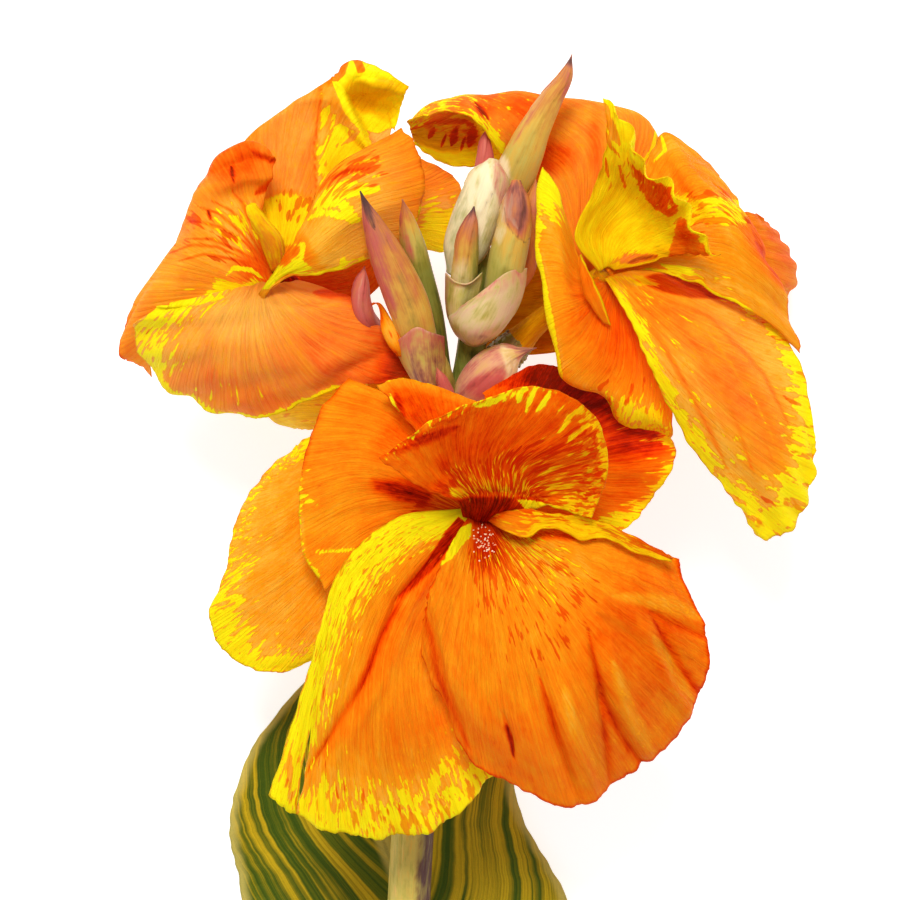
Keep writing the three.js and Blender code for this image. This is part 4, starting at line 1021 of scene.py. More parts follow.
LEFT_BLOOM["lower_petal"] = dict(ribs=[
    [(-8.5, 22.5, 42.5), (-8, 21.5, 43.5), (-7, 20, 43)],
    [(-13, 26, 50), (-12, 24, 53), (-9, 19.5, 51)],
    [(-23, 36.5, 55), (-22, 33.5, 60), (-23, 25, 61), (-14, 17, 54)],
    [(-37, 42, 58), (-36, 38.5, 65), (-43, 24, 68), (-29, 14.5, 57)],
    [(-54, 41, 58), (-54, 37.5, 66), (-63, 25, 63), (-45, 8, 52)],
    [(-71, 37.5, 56), (-71, 35.5, 62), (-80, 32, 55), (-79, 26, 49), (-74, 17.5, 44), (-62.5, 11, 44),
     (-51, 8, 47)],
], ground=dict(tone=[(0, 0.78), (0.22, 0.62), (0.4, 0.34), (1, 0.2)], blush=0.6), strokes=[
    # spot(-42, 32) and spot(-52, 33), pale peach, are a painted highlight.
    spot(-18, 23, 11, 6, 10, tone=0.66), spot(-14, 20, 4, 5, tone=0.92), spot(-42, 32, 13, 6, tone=0.12),
    spot(-52, 33, 8, 5, tone=0.06), spot(-48, 12, 20, 5, -20, tone=0.42), spot(-30, 26, 12, 9, tone=0.44),
    rim("far", 9, 0, 0.55, gold=0.98), rim("far", 15, 0, 0.45, gold=0.74), rim("far", 22, fleck=1),
    rim("far", 2.8, 0.5, gold=0.95), rim("right", 1.2, 0.5, gold=0.9), rim("right", 5, 0.4, fleck=0.6),
    # Painted shadow: this dark line under the right petal's edge.
    line([(-34, 39), (-26, 39), (-20, 36)], 1.6, tone=0.66),
    line([(-76, 33), (-66, 36.5), (-56, 38)], 0.8, gold=0.9),
], ruffle=(0.8, 5), nibble=1.3, fan=(-47, 44, 180, 0.012, 34), creases=[
    ([(-47, 37), (-36, 36), (-28, 37)], 0.8, -0.9), ([(-13, 26), (-24, 20), (-34, 15)], 2.2, -1.5),
    ([(-20, 30), (-30, 22), (-38, 16)], 2.6, 0.8),
])
LEFT_BLOOM["top_petal"] = dict(ribs=[
    [(-44.8, 44.5, 57.5), (-40.5, 45, 57)],
    [(-54, 58, 54), (-43, 61, 50), (-31.5, 60, 54)],
    [(-53, 76, 50), (-42, 78, 48), (-34, 74, 52), (-26, 70, 57)],
    [(-42, 86, 50), (-34, 86, 52), (-22, 74.5, 56)],
    [(-30.5, 93, 56), (-26.3, 86.5, 59), (-23, 80, 58.5), (-19.5, 74, 57)],
    [(-28.8, 94.5, 56), (-26.3, 91, 58.5), (-24.8, 88, 52), (-21.5, 82, 50.5), (-18, 75, 52)],
    [(-24.5, 98, 57), (-23.5, 93, 60.5), (-22.3, 90.5, 53), (-21, 87, 49.5), (-17.5, 80.5, 49.5),
     (-15.5, 77, 50)],
    [(-17.5, 96, 57.5), (-17.5, 91.5, 60.5), (-17, 89.5, 54), (-16, 86.5, 50), (-14.5, 81, 50)],
    [(-10, 91, 58), (-11, 89, 57), (-12, 86.5, 53), (-14, 80, 51)],
], ground=dict(tone=[(0, 0.4), (0.3, 0.16), (1, 0.16)]), strokes=[
    area([(-38, 74), (-34, 80), (-33, 92), (-32, 92), (-32.5, 76), (-33.5, 62), (-37, 62)], 2, tone=0.34),
    area([(-60, 60), (-44, 88), (-33, 92), (-33, 62)], 4, blush=0.45),
    # Painted highlight: this pale line beside the crease.
    line([(-31.5, 88), (-33, 76), (-32.5, 64)], 0.7, tone=0.02),
    area([(-32, 90), (-28, 84), (-28, 70), (-33, 62), (-34, 76)], 1.5, gold=0.52),
    area([(-33, 92), (-20, 80), (-18, 66), (-34, 60)], 2, fleck=0.5),
    area([(-30, 79), (-27.5, 82), (-25, 81), (-21.7, 79.5), (-19, 76), (-17.5, 71.5), (-19, 66), (-30, 64),
          (-30.5, 74)], 1, gold=0.92),
    line([(-22.5, 80), (-25, 77.5), (-28.5, 76)], 0.5, gold=0.3),
    area([(-30, 80), (-22, 80), (-18, 72), (-19, 66), (-31, 64)], 4, shade=0.2),
    patch((0.52, 1), (0, 1), 0.02, gold=1), spot(-41, 58, 8, 7, gold=0.97, shade=0.08),
    # The line here, dark along the crease, is painted shade.
    spot(-38, 61.5, 6, 6, dots=1.2), line([(-32, 91), (-34, 76), (-33.5, 63)], 0.4, tone=0.6),
    area([(-32, 92), (-28, 97.5), (-25, 98), (-26, 94), (-29, 91)], 1, gold=0.1),
    area([(-24.5, 98), (-22.5, 98.5), (-21, 94.5), (-23, 94)], 0.8, gold=0.15),
    area([(-32, 92), (-28, 98), (-22, 99), (-21, 94), (-29, 91)], 1, tone=0.44),
    area([(-29.5, 92.5), (-26.5, 91.5), (-25.2, 88), (-25, 86), (-23.5, 83), (-21.7, 80), (-22.5, 79.5),
          (-26, 84), (-28, 88.5)], gold=1, shade=0),
    # Painted shade: the browns in the hollow of the curled tip and along its shaded band.
    area([(-29, 89), (-27.8, 87), (-25, 83), (-23, 81), (-27, 83.5)], 0.8, shade=0.24),
    area([(-26.6, 91.4), (-25, 92.8), (-22, 92.6), (-18.5, 91.4), (-16.5, 89.3), (-17.5, 86.6),
          (-21.5, 85.4), (-24.4, 86), (-25.4, 89)], 0.9, shade=0.3),
    area([(-19.3, 91.6), (-18, 93), (-12.5, 92.6), (-9, 91), (-11.2, 89), (-18, 88.4)], 1.2, shade=0.32),
    area([(-24.6, 87.2), (-18.4, 88.4), (-18.5, 84.6), (-22.4, 84.4)], 1.2, shade=0.3),
    area([(-18.2, 88.6), (-11, 89), (-12.8, 85), (-15, 82), (-18.5, 84)], 1, shade=0.16),
    area([(-23, 84), (-18, 83), (-14.5, 81), (-16, 76), (-20, 76), (-21.7, 79.5)], 0.8, tone=0.04),
    area([(-23, 84), (-18, 83), (-14.5, 81), (-18, 79), (-21, 80)], 0.8, gold=0.75),
    area([(-21, 80), (-18, 79.5), (-14.5, 81), (-13, 79), (-16, 75), (-19, 74)], 0.8, gold=0.1),
    area([(-23, 84), (-14.5, 81), (-16, 75), (-20, 75)], 0.8, shade=0.05, blush=0.8),
], fan=(-42, 46, 20, -0.004, 30), creases=[
    ([(-32, 91), (-34, 76), (-33.5, 62)], 0.6, -0.9), ([(-30, 90), (-31.5, 76), (-31, 64)], 1.6, 0.7),
    ([(-26.5, 92), (-22, 93.4), (-12, 93)], 0.7, 0.9), ([(-26, 90), (-23, 91), (-14, 91)], 0.8, -1),
])
LEFT_BLOOM["back_petal"] = dict(ribs=[
    [(-41.5, 43, 56), (-40.5, 41, 56)],
    [(-31, 51, 52), (-30.5, 37, 56.5)],
    [(-19, 62, 46), (-20, 50, 47), (-22, 37.5, 51.5)],
    [(-12, 70, 42), (-10, 60, 41), (-12, 48, 44)],
    [(-7.5, 74, 40), (0, 70.5, 36), (3.3, 66.5, 34), (1, 58, 32), (-1, 51, 32), (-8.2, 52, 36)],
], ground=dict(tone=[(0, 0.66), (0.5, 0.5), (0.8, 0.34), (1, 0.3)], blush=0.3), strokes=[
    spot(0, 54, 9, 9, gold=0.9), spot(-1, 64, 10, 4, fleck=0.7), spot(-2, 57, 8, 7, tone=0.1),
    # spot(-33, 42), brown at the petal's root end, is a painted shadow under the right petal.
    spot(-3, 58, 7, 6, blush=0.8), spot(2, 53, 7, 7, shade=0.12), spot(-33, 42, 12, 5, shade=0.25),
    spot(0, 64, 6, 3, streak=0.5),
])
LEFT_BLOOM["under_petal"] = dict(ribs=[
    [(-7, 19.5, 42), (-6.5, 17, 41.5)],
    [(-14, 21.5, 45.5), (-13, 14, 43.5)],
    [(-25, 25, 40), (-26, 12.5, 38), (-21, 6, 36)],
    [(-42.5, 25, 28), (-41, 12.5, 24), (-35, 5, 22)],
    [(-58, 25, 8.2), (-55, 14, 1.2), (-47, 8, 0.2), (-40, 5.5, 2.2)],
], ground=dict(
    gold=[(0, 0.2), (0.3, 0.85), (1, 0.95)], shade=[(0, 0.5), (0.5, 0.4), (1, 0.2)], tone=0.4, fleck=0.6,
    streak=0.55
), strokes=[])
LEFT_BLOOM["spent_petal"] = dict(ribs=[
    [(-21, 36.5, 61), (-21, 35, 61)],
    [(-18.5, 36.5, 61.5), (-17.5, 36.8, 61.5)],
    [(-17.8, 33, 61), (-15, 33.5, 62)],
    [(-16.8, 28.8, 61.5), (-14.5, 29.3, 63), (-12.5, 29.3, 61.5)],
    [(-14.5, 24.5, 61), (-12.8, 25, 62), (-11.3, 24.5, 61)],
    [(-13.3, 23, 60.5), (-12, 23.2, 60.5)],
], ground=dict(tone=0.24, streak=0.75), strokes=[
    rim("left", 0.8, tone=0.6), spot(-15, 29, 2, 3, tone=0.02),
])

RIGHT_BLOOM = {}
RIGHT_BLOOM["stamen"] = dict(ribs=[
    [(40, 31, 68.5), (38, 31.5, 69.5)],
    [(36.5, 41, 72), (33, 39, 74.5)],
    [(32.5, 49, 72), (31.8, 48, 73.5)],
], ground=dict(tone=0.4, shade=0.15), strokes=[rim("left", 0.8, gold=0.7)])
RIGHT_BLOOM["cup_petal"] = dict(ribs=[
    [(37.2, 44.5, 60), (39.5, 45.8, 58.5), (41, 45, 60)],
    [(31, 53, 64), (40, 54, 57), (50, 46.5, 62)],
    [(36, 67, 66), (46, 62, 60), (56, 48, 66)],
    [(38.5, 78, 72), (46, 69.5, 72), (53.5, 59.5, 72), (62, 48, 71)],
    [(37.5, 88, 74), (44, 80, 78), (47.5, 70.5, 80), (56, 64.5, 81), (60, 57.5, 80), (63, 51.5, 79),
     (68, 48.5, 76)],
], ground=dict(gold=1, shade=0.15, tone=0.5, fleck=0.3), strokes=[
    area([(43.7, 72.5), (47.5, 69), (51, 66.3), (55.5, 64.5), (56.8, 61), (55.5, 57.5), (51, 60),
          (47.5, 65)], 1, gold=0.05),
    area([(43, 73), (56, 66), (57, 56), (47, 63)], 2, tone=0.6), spot(54, 62, 3, 2.4, tone=0.68),
    area([(42, 76), (60, 64), (58, 54), (44, 64)], 3, fleck=0.8),
    area([(56.5, 57.5), (62.5, 57), (61.5, 52), (67, 48), (62, 45.5), (54, 47), (55.5, 52)], 1, gold=0.05),
    area([(56, 58), (63, 58), (68, 47), (53, 46)], 2, tone=0.48), spot(58.5, 54, 1.6, 3, 20, tone=0.6),
    spot(65, 49.5, 2.6, 1.2, -25, tone=0.64), rim("far", 1.4, gold=0.98), rim("far", 3, shade=0.05),
    area([(37.5, 86), (39, 86), (41.5, 80), (42.5, 75.5), (40, 77), (38, 82)], 1, gold=0.2),
    area([(37, 87), (40, 87), (43, 75), (39, 76)], 2, tone=0.2),
    area([(40, 87), (42, 86), (45, 80), (45, 74), (42.5, 75.5), (41, 80)], 1, shade=0),
    line([(37, 82), (39.5, 76), (42.5, 72.5)], 0.6, gold=0.3),
    line([(38.5, 73), (39.5, 68)], 0.6, gold=0.3), line([(42, 71), (44, 65)], 0.6, gold=0.3),
    spot(43, 70, 6, 7, streak=0.5), rim("right", 2.5, shade=0.4),
    spot(45, 48, 5, 1.6, 12, gold=0.35, blush=0.9),
    line([(44.6, 46.6), (47.5, 47.8), (52, 48.4)], 0.5, shade=1),
    line([(44.6, 46.6), (48, 47.8), (52, 48.4)], 0.8, gold=0.2),
], ruffle=(1.4, 6), nibble=1.2)
RIGHT_BLOOM["lower_right_petal"] = dict(ribs=[
    [(38.5, 42.5, 61), (39.5, 43.3, 60.5), (41, 43.5, 60)],
    [(39, 42, 66.5), (42.5, 43, 65), (47, 45, 59)],
    [(44.5, 31, 72), (54, 35, 71), (62, 43, 55)],
    [(51, 16, 72), (62.5, 20, 75), (79, 36, 52)],
    [(60, 0, 64), (71, 5, 68), (88, 23, 50)],
    [(70, -12, 54), (81, -7.5, 56), (92, 6, 49)],
    [(77, -21, 46), (81, -23, 45), (87, -19, 45), (91, -10, 46), (92.5, 0, 47)],
], ground=dict(tone=[(0, 0.36), (0.25, 0.16), (0.7, 0.06), (1, 0.12)]), strokes=[
    spot(72, 14, 7, 24, 35, tone=0.4), spot(54, 33, 10, 6, -35, tone=0.38),
    spot(66, 20, 14, 20, 35, blush=0.25), rim("left", (1.5, 5), 0.08, gold=0.85), rim("left", 12, fleck=1),
    rim("left", (1, 4), 0.08, gold=0.9), rim("right", (3, 11), 0.36, gold=0.78),
    rim("right", (8, 24), 0.3, fleck=1), rim("far", 14, gold=0.8), rim("far", 28, fleck=1),
    rim("far", 4, gold=0.95), rim("right", 2.5, 0.4, gold=0.95), rim("far", 18, streak=0.66),
    rim("right", 9, 0.4, streak=0.6),
    # Painted shadow under the right petal: this band, and the brown spot(44, 42.5) after it.
    area([(44, 43.5), (51, 43.8), (61, 44.3), (68, 41.5), (74, 37.5), (68, 38.4), (60, 38.5), (53, 39.5),
          (48, 42)], 1, gold=0),
    area([(46, 42), (51, 43.8), (61, 44.3), (68, 41.5), (78, 34), (68, 37.6), (60, 37.6), (53, 39)], 0.7,
          tone=0.68, shade=0.62),
    area([(41, 43), (48, 43.5), (52, 41), (46, 40.5)], 0.8, gold=0.7), spot(44, 42.5, 5, 2, shade=0.5),
    *(line(vein, 0.6, tone=0.42) for vein in (
        [(46, 39), (58, 30), (68, 15), (76, -6)], [(48, 38), (62, 30), (73, 16), (81, -4)],
        [(47, 40), (64, 33), (78, 19), (86, 4)], [(44, 38), (54, 24), (64, 6), (70, -6)])),
    *(line(vein, 0.35, gold=0.46) for vein in (
        [(46, 38), (57, 25), (66, 8), (72, -6)], [(50, 38), (64, 29), (76, 12), (82, 0)])),
], ruffle=(0.8, 4), nibble=1.3, fan=(34, 52, 140, 0.004, 50), creases=[
    ([(46, 40), (60, 25), (76, -4)], 2.4, -1.1), ([(50, 42), (68, 28), (84, 4)], 2.4, 1),
])
RIGHT_BLOOM["lower_middle_petal"] = dict(ribs=[
    [(37, 42.5, 60), (40.2, 41.5, 59)],
    [(33.2, 44, 65), (44, 37, 59.5)],
    [(30.5, 54, 66), (32, 37.5, 70), (50.5, 28.5, 59)],
    [(26.5, 66, 68), (27, 47.5, 73), (32, 27.5, 73), (55.5, 15, 58)],
    [(23, 71, 66), (21.5, 56, 70), (23, 41, 72), (26, 26, 71), (28, 18.5, 69), (39, 14, 66), (56, 5, 59)],
    [(24, 69, 62), (23.5, 56, 65), (25, 41, 66), (28, 26, 65), (30.5, 18, 62), (38.5, 13.5, 60),
     (42, 7, 58), (56, 2.5, 54)],
], ground=dict(tone=[(0, 0.44), (0.4, 0.24), (1, 0.17)]), strokes=[
    spot(24, 65, 6, 8, gold=1), spot(24, 58, 7, 6, fleck=0.9),
    line([(21, 68), (20.5, 50), (22.5, 38), (25, 26), (28, 15)], 2.2, gold=1),
    spot(47, 8, 10, 4, -20, gold=0.78), spot(46, 11, 13, 8, -20, fleck=1),
    spot(40, 30, 9, 14, 30, tone=0.54), rim("far", 1.5, gold=0.75), spot(44, 14, 12, 5, -20, streak=0.7),
], ruffle=(0.7, 5), nibble=1.2)
RIGHT_BLOOM["right_petal"] = dict(ribs=[
    [(38.4, 46, 58), (40.6, 43, 57.6)],
    [(43.4, 55, 57), (47.5, 44.6, 57)],
    [(48, 71, 57), (58, 58, 62), (58.5, 42, 62)],
    [(53, 80, 55), (67, 60, 67), (68, 37.4, 64)],
    [(62.5, 75, 51), (74, 56, 63), (78.5, 32, 59)],
    [(68, 69.5, 46), (75.5, 55.5, 55), (84, 40, 51), (89, 23, 47)],
], ground=dict(tone=[(0, 0.36), (0.5, 0.15), (1, 0.22)]), strokes=[
    area([(56.5, 64), (58, 56), (66, 56), (74, 56), (73, 63), (64, 63)], 2, gold=0.8),
    spot(65, 61, 12, 7, fleck=0.8), area([(58, 66), (72, 66), (80, 56), (60, 54)], 4, streak=1),
    line([(60, 60.5), (67.5, 62.5), (73, 60)], 0.6, tone=0.6),
    line([(62, 57), (69, 59), (75.5, 56)], 0.6, tone=0.6),
    line([(58, 58.5), (64, 61), (70, 60.5), (75, 58)], 0.6, gold=0.9), spot(79, 52, 5, 11, 35, tone=0.55),
    line([(76, 52), (80, 47), (84, 40)], 1.2, tone=0.72),
    line([(52.5, 46.5), (60, 44.3), (68, 46)], 1, gold=0.9), spot(60, 48, 10, 6, fleck=0.6),
    area([(60, 48), (70, 46), (84, 32), (77, 31), (62, 42)], 3, gold=0.32), spot(70, 42, 12, 6, fleck=0.3),
    spot(74, 37, 12, 5, tone=0.2), rim("right", 0.8, 0.2, 0.75, gold=0.9), rim("far", 0.8, tone=0.5),
    line([(52, 81), (51.5, 77.5), (47.5, 71)], 0.5, gold=0.95),
    line([(53, 79), (54, 75), (51, 72)], 0.5, gold=0.95),
    line([(48, 86), (51.5, 84), (53, 80)], 0.8, gold=0.9), spot(61, 69, 8, 7, tone=0.32),
    spot(80, 44, 6, 10, 35, streak=0.4),
], ruffle=(1, 4), nibble=1.4, creases=[
    ([(54, 76), (60, 66), (66, 58)], 1.6, -1.2), ([(58, 78), (64, 68), (72, 60)], 1.8, 1.2),
    ([(56, 50), (70, 46), (84, 38)], 2, -1), ([(52, 81), (51.5, 77), (47.5, 71)], 0.8, 1),
], slits=[(0.3, 0.72, 0.82, 1.6)])
RIGHT_BLOOM["top_petal"] = dict(ribs=[
    [(34.5, 43.5, 55), (35.5, 44, 54.5), (36.5, 44.5, 55)],
    [(30, 52, 50), (36, 55, 48), (41, 54, 45)],
    [(24, 61, 47), (34, 75, 51), (47.5, 84, 47), (54, 77, 40)],
    [(16, 69, 46.5), (22.5, 82.5, 53), (35, 88, 48), (37.5, 77.5, 38)],
    [(12, 75, 55), (12.5, 84, 56), (17.5, 90, 49), (20, 75, 38)],
    [(5, 83, 61), (4.5, 86, 59), (4, 89, 52), (4.5, 80, 43), (6, 71.5, 39)],
    [(-5, 84, 58), (-4.5, 87, 53), (-2.5, 72.5, 40)],
    [(-11, 82.5, 54), (-10.5, 81.5, 51), (-9, 77.5, 44)],
], ground=dict(tone=[(0, 0.5), (0.3, 0.24), (1, 0.34)], blush=0.3), strokes=[
    patch((0.68, 1), (0, 0.42), 0.08, gold=0.6), patch((0.5, 1), (0, 0.5), fleck=1),
    spot(1, 86.5, 5, 1.6, gold=0.2), spot(21, 84, 7, 5, tone=0.48), spot(12, 87, 14, 3, tone=0.58),
    # The second patch is painted shade on the far wall of the curled lip.
    patch((0.62, 1), (0.5, 1), 0.03, gold=1, fleck=0.2), patch((0.6, 1), (0.48, 0.85), 0.04, shade=0.5),
    area([(-9, 82), (-2, 83.5), (4, 84), (9, 80), (7, 77), (4, 78.5), (1, 77.5), (-2, 80), (-5, 79.5)],
          1.4, gold=0.5),
    line([(-7, 82.2), (-2, 83.2), (4, 83.2), (8, 80.5)], 0.6, gold=0),
    line([(-4, 81.5), (-5.6, 78.6)], 0.7, gold=0), line([(1.6, 81.5), (0.2, 77)], 0.9, gold=0),
    line([(6, 81.5), (4.6, 76.6)], 1.2, gold=0), line([(-1, 80), (-2.4, 76.6)], 0.45, gold=0),
    line([(3.6, 79), (2.6, 75.6)], 0.45, gold=0), spot(1, 79.5, 9, 4, tone=0.82),
    # spot(26, 74) and spot(36.5, 77) are painted shadows of the buds above.
    spot(26, 74, 5, 4, tone=0.68), spot(36.5, 77, 1.8, 7, tone=0.5),
    line([(6, 84), (10, 79.5), (14.5, 74)], 1.5, gold=0.95), line([(7, 83), (14, 75)], 1.5, shade=0),
    line([(6, 87), (8, 84.5), (9.5, 82.5)], 0.8, tone=1), spot(7.5, 85, 1.5, 2, gold=0),
    spot(50, 86, 5, 1.6, -25, gold=0.6), line([(52, 82), (51, 76), (48, 72)], 0.7, gold=0.8),
])
RIGHT_BLOOM["back_petal"] = dict(ribs=[
    [(34, 41, 53), (34.8, 39.5, 53)],
    [(33, 42, 47), (36, 31, 46)],
    [(25, 56, 44), (29, 25, 42)],
    [(13, 50, 41), (8.5, 37.5, 38), (7, 24, 35)],
], ground=dict(gold=0.85, shade=0.66, tone=0.6, streak=0.2, fleck=0.1), strokes=[
    spot(19, 45, 5, 9, shade=0.5),
])
RIGHT_BLOOM["far_right_petal"] = dict(ribs=[
    [(38.5, 44.5, 57), (39.5, 43.2, 56.5)],
    [(50, 50, 50), (52, 45, 49)],
    [(62.5, 58, 50), (66, 42, 48)],
    [(74, 61, 45), (78, 40, 43)],
    [(80, 59, 32), (86, 51, 27), (88, 44, 25), (84, 37, 29)],
    [(82, 57, 6), (86.5, 51, 1), (88.2, 45, 0), (86, 40, 3)],
], ground=dict(tone=0.48, gold=0.3, shade=0.16), strokes=[
    spot(85, 55, 4, 8, tone=0.62), rim("right", 1.2, 0.4, gold=0.7), rim("right", 4, fleck=0.6),
], ruffle=(0.7, 5), nibble=1.5)

# The stem, and the ovary and tube that each bloom stands on. The radii are evenly spaced on the path,
# and the ovary is at its second point. amber is how yellow a tube's far end is.
STEM = dict(path=[
    (-17, -300, 7.6), (-16, -250, 9.3), (-12, -170, 16), (-10, -105, 23), (-5, -45, 34), (2, 5, 42),
    (5, 22, 47), (6.5, 38, 53), (7.5, 50, 54), (9, 60, 52),
], radii=[5.8, 5.8, 5.6, 5.4, 5, 4.4, 3.8, 3.2, 2.6, 1.5])
TUBES = {}
TUBES["front_bloom_tube"] = dict(path=[
    (3, 2, 47), (3, -4, 52), (3.5, -8, 58), (5, -12.5, 63), (8, -15.8, 67.5),
], radii=[3.2, 4.6, 3.2, 2.6, 2.8])
TUBES["left_bloom_tube"] = dict(path=[
    (0, 14, 43), (-5, 19, 42), (-14, 27, 42), (-28, 36, 46), (-43.5, 43.3, 60),
], radii=[3.2, 4.6, 3, 2.4, 2.4])
TUBES["right_bloom_tube"] = dict(path=[
    (9, 20, 46), (14, 24, 46), (21, 31, 48), (30, 38, 51), (38.8, 43.6, 58.5),
], radii=[3.2, 4.6, 3, 2.6, 3.1], amber=0.8)

STALK_ROWS = {"stem": 300, "tube": 90}
STALK_SKIN_WIDTH = 34  # How much pattern goes once round a stalk, in millimetres.
OVARY_REACH = 6.2  # From the middle of an ovary to where its tube turns to petal skin.
WART_REACH = 6.5

# Unopened buds: ripe runs from olive (0) over cream (0.4) and tan (0.7) to a purple-brown tip (1).
BUDS = {}
BUDS["top_bud"] = dict(path=[
    (11.5, 59, 51), (14.8, 66, 54), (18.4, 74, 58), (21, 80, 60.5), (25.2, 87.5, 63), (28.8, 93, 65),
    (30.4, 98.6, 66),
], radii=[2.5, 5, 4.8, 4, 2.9, 1.8, 0.3], ground=dict(
    ripe=[(0, 0.42), (0.3, 0.42), (0.45, 0.46), (0.6, 0.54), (0.8, 0.66), (0.9, 0.7), (0.93, 0.95),
          (0.96, 0.98), (1, 0.7)],
    brown=0.1
), strokes=[
    line([(14, 74), (20, 84), (26, 94)], 1.2, pink=0.4),
    area([(11, 74), (14, 74), (15.5, 68), (13, 62), (8, 66)], 2, cream=0.8),
    area([(15, 73), (20, 82), (25, 88), (24, 82), (19, 68), (16, 67)], 3, green=0.3),
    line([(16, 78), (21, 86), (25, 92)], 0.8, brown=0.2),
    line([(21, 66), (25.5, 75), (28.5, 86), (29.6, 94)], 1.3, pink=0.55),
])
BUDS["front_bud"] = dict(path=[
    (4.5, 33, 57), (3, 37.5, 60), (3.3, 42.5, 62.2), (3.8, 47.5, 65.5), (4.3, 52.5, 68.5), (5.2, 56.5, 70),
    (6, 60.5, 70),
], radii=[2.4, 3.2, 3.3, 3.2, 2.8, 1.8, 0.4], ground=dict(
    ripe=[(0, 0.3), (0.35, 0.32), (0.55, 0.5), (0.72, 0.7), (0.88, 0.8), (0.97, 1)]
), strokes=[
    spot(3, 42, 3, 6, cream=0.45), spot(6.6, 46, 1.5, 9, green=0.6), spot(-0.6, 40, 1.4, 5, green=0.45),
    spot(1.5, 52, 1.5, 7, pink=0.35),
])
BUDS["right_bud"] = dict(path=[
    (9.5, 34, 57), (12.5, 39, 60), (13.5, 44, 62.5), (14.7, 50, 65), (16, 56, 67), (16.5, 61.5, 68),
    (16.5, 67, 67),
], radii=[2.8, 4.2, 4.6, 4.7, 4.3, 3.5, 1.4], ground=dict(
    ripe=[(0, 0.3), (0.4, 0.34), (0.6, 0.46), (1, 0.6)]
), strokes=[
    area([(9.5, 52), (13, 52), (14, 40), (9, 38)], 3, green=0.4),
    area([(12, 64), (14.6, 66), (14.4, 54), (12, 50), (10.5, 54)], 1.5, cream=0.4),
    line([(12.6, 62), (13, 56), (12.4, 50)], 0.8, green=0.3),
    area([(14, 68), (20, 68), (20.5, 54), (18.2, 51.8), (14.5, 54), (13.2, 60)], 1, pink=0.36),
    line([(15.4, 64), (15, 58), (17, 54.6)], 0.8, cream=0.4),
    area([(13, 67), (19.4, 66), (20, 57), (17.6, 52.6), (13.4, 57)], 2, ripe=0.84),
    line([(16.6, 67), (17.6, 61), (17.2, 55)], 1.4, brown=0.5),
    area([(14.4, 66), (18.8, 66), (19.4, 57), (17.6, 53.6), (14.6, 57)], 2, brown=0.44),
    line([(19, 64), (19.6, 58), (18.4, 54)], 0.8, green=0.2),
    line([(13.4, 61), (13.9, 56.6), (16, 53.4), (18.6, 51.6), (20.4, 53)], 0.35, brown=0.45),
    line([(14.4, 68), (17, 68.4), (19, 65)], 0.7, brown=0.6),
])
BUDS["left_long_bud"] = dict(path=[
    (1, 15, 49), (-2.5, 19.5, 53.5), (-7, 26, 58), (-10.2, 35.5, 63), (-13.1, 42.5, 67), (-16.4, 50, 71),
    (-19.2, 56.6, 74), (-22.2, 64, 77),
], radii=[1.5, 3, 4.3, 5.2, 5, 4, 2.3, 0.4], ground=dict(
    ripe=[(0, 0.3), (0.3, 0.42), (0.5, 0.6), (0.7, 0.66), (0.86, 0.74), (0.96, 1)]
), strokes=[
    line([(-23, 62), (-20.5, 52), (-17, 41), (-13.5, 33)], 3.2, pink=0.66),
    line([(-18, 58), (-12, 46), (-8, 38)], 1.2, pink=0.3),
    area([(-14, 44), (-11.5, 45), (-8, 36), (-7, 29), (-11, 31)], 3, green=0.42),
    line([(-22, 63.5), (-20, 58), (-18.6, 54.5)], 0.9, brown=0.7),
])
BUDS["left_rear_bud"] = dict(path=[
    (-1.5, 18, 47), (-4, 27, 50), (-5.5, 35, 54), (-7.8, 44, 58.5), (-9.3, 51, 63), (-10.7, 57.5, 67),
    (-11.8, 62.2, 70),
], radii=[2.5, 3.3, 3.5, 3.5, 3.1, 1.8, 0.4], ground=dict(
    ripe=[(0, 0.05), (0.4, 0.12), (0.7, 0.3), (0.85, 0.6), (1, 0.8)]
), strokes=[spot(-6, 40, 4, 8, green=0.5), line([(-12.5, 60), (-11, 52), (-9, 46)], 1.2, pink=0.5)])
BUDS["lower_right_bud"] = dict(path=[
    (3, 12.5, 50.5), (5.2, 14.5, 53.5), (8.5, 17.8, 56), (12, 21, 57), (14.8, 23.2, 57.5),
    (17.6, 24.4, 58), (21.7, 25.6, 57.5),
], radii=[2.2, 4.6, 5.8, 5.6, 4, 1.3, 0.3], ground=dict(
    ripe=0.5, pink=0.52, cream=0.5, brown=0.18
), strokes=[
    line([(3, 19), (7, 22.5), (11, 25)], 1.2, cream=0.5), spot(10, 16, 5, 3, 30, pink=0.9),
    area([(12.4, 26.5), (15.5, 25), (18, 20), (16, 14), (12.4, 15), (14.4, 19)], 1, pink=0.15),
    area([(12.4, 26), (15, 25), (16, 20), (14, 15.5), (12.4, 20)], 1.6, cream=0.55),
    line([(14.6, 25), (15.6, 20.5), (13.6, 15.5)], 0.35, brown=0.3),
    spot(20, 25, 3, 1.5, brown=0.5, pink=0.6),
])
BUDS["pink_sepal"] = dict(path=[
    (-17, 29, 45.5), (-19.5, 31, 54), (-21.5, 34, 60), (-22.3, 38, 61.5), (-22, 42, 62), (-21.3, 46, 62),
], radii=[1.6, 2.4, 2.5, 2.4, 1.8, 0.3], ground=dict(ripe=0.8, pink=0.62), strokes=[
    line([(-23, 35), (-22.6, 40), (-21.6, 44)], 0.35, cream=0.5),
    line([(-20.8, 35), (-20.6, 40), (-21, 44)], 0.3, cream=0.4),
    line([(-21.8, 34), (-21.6, 40), (-21.4, 45)], 0.7, ripe=0.85),
])
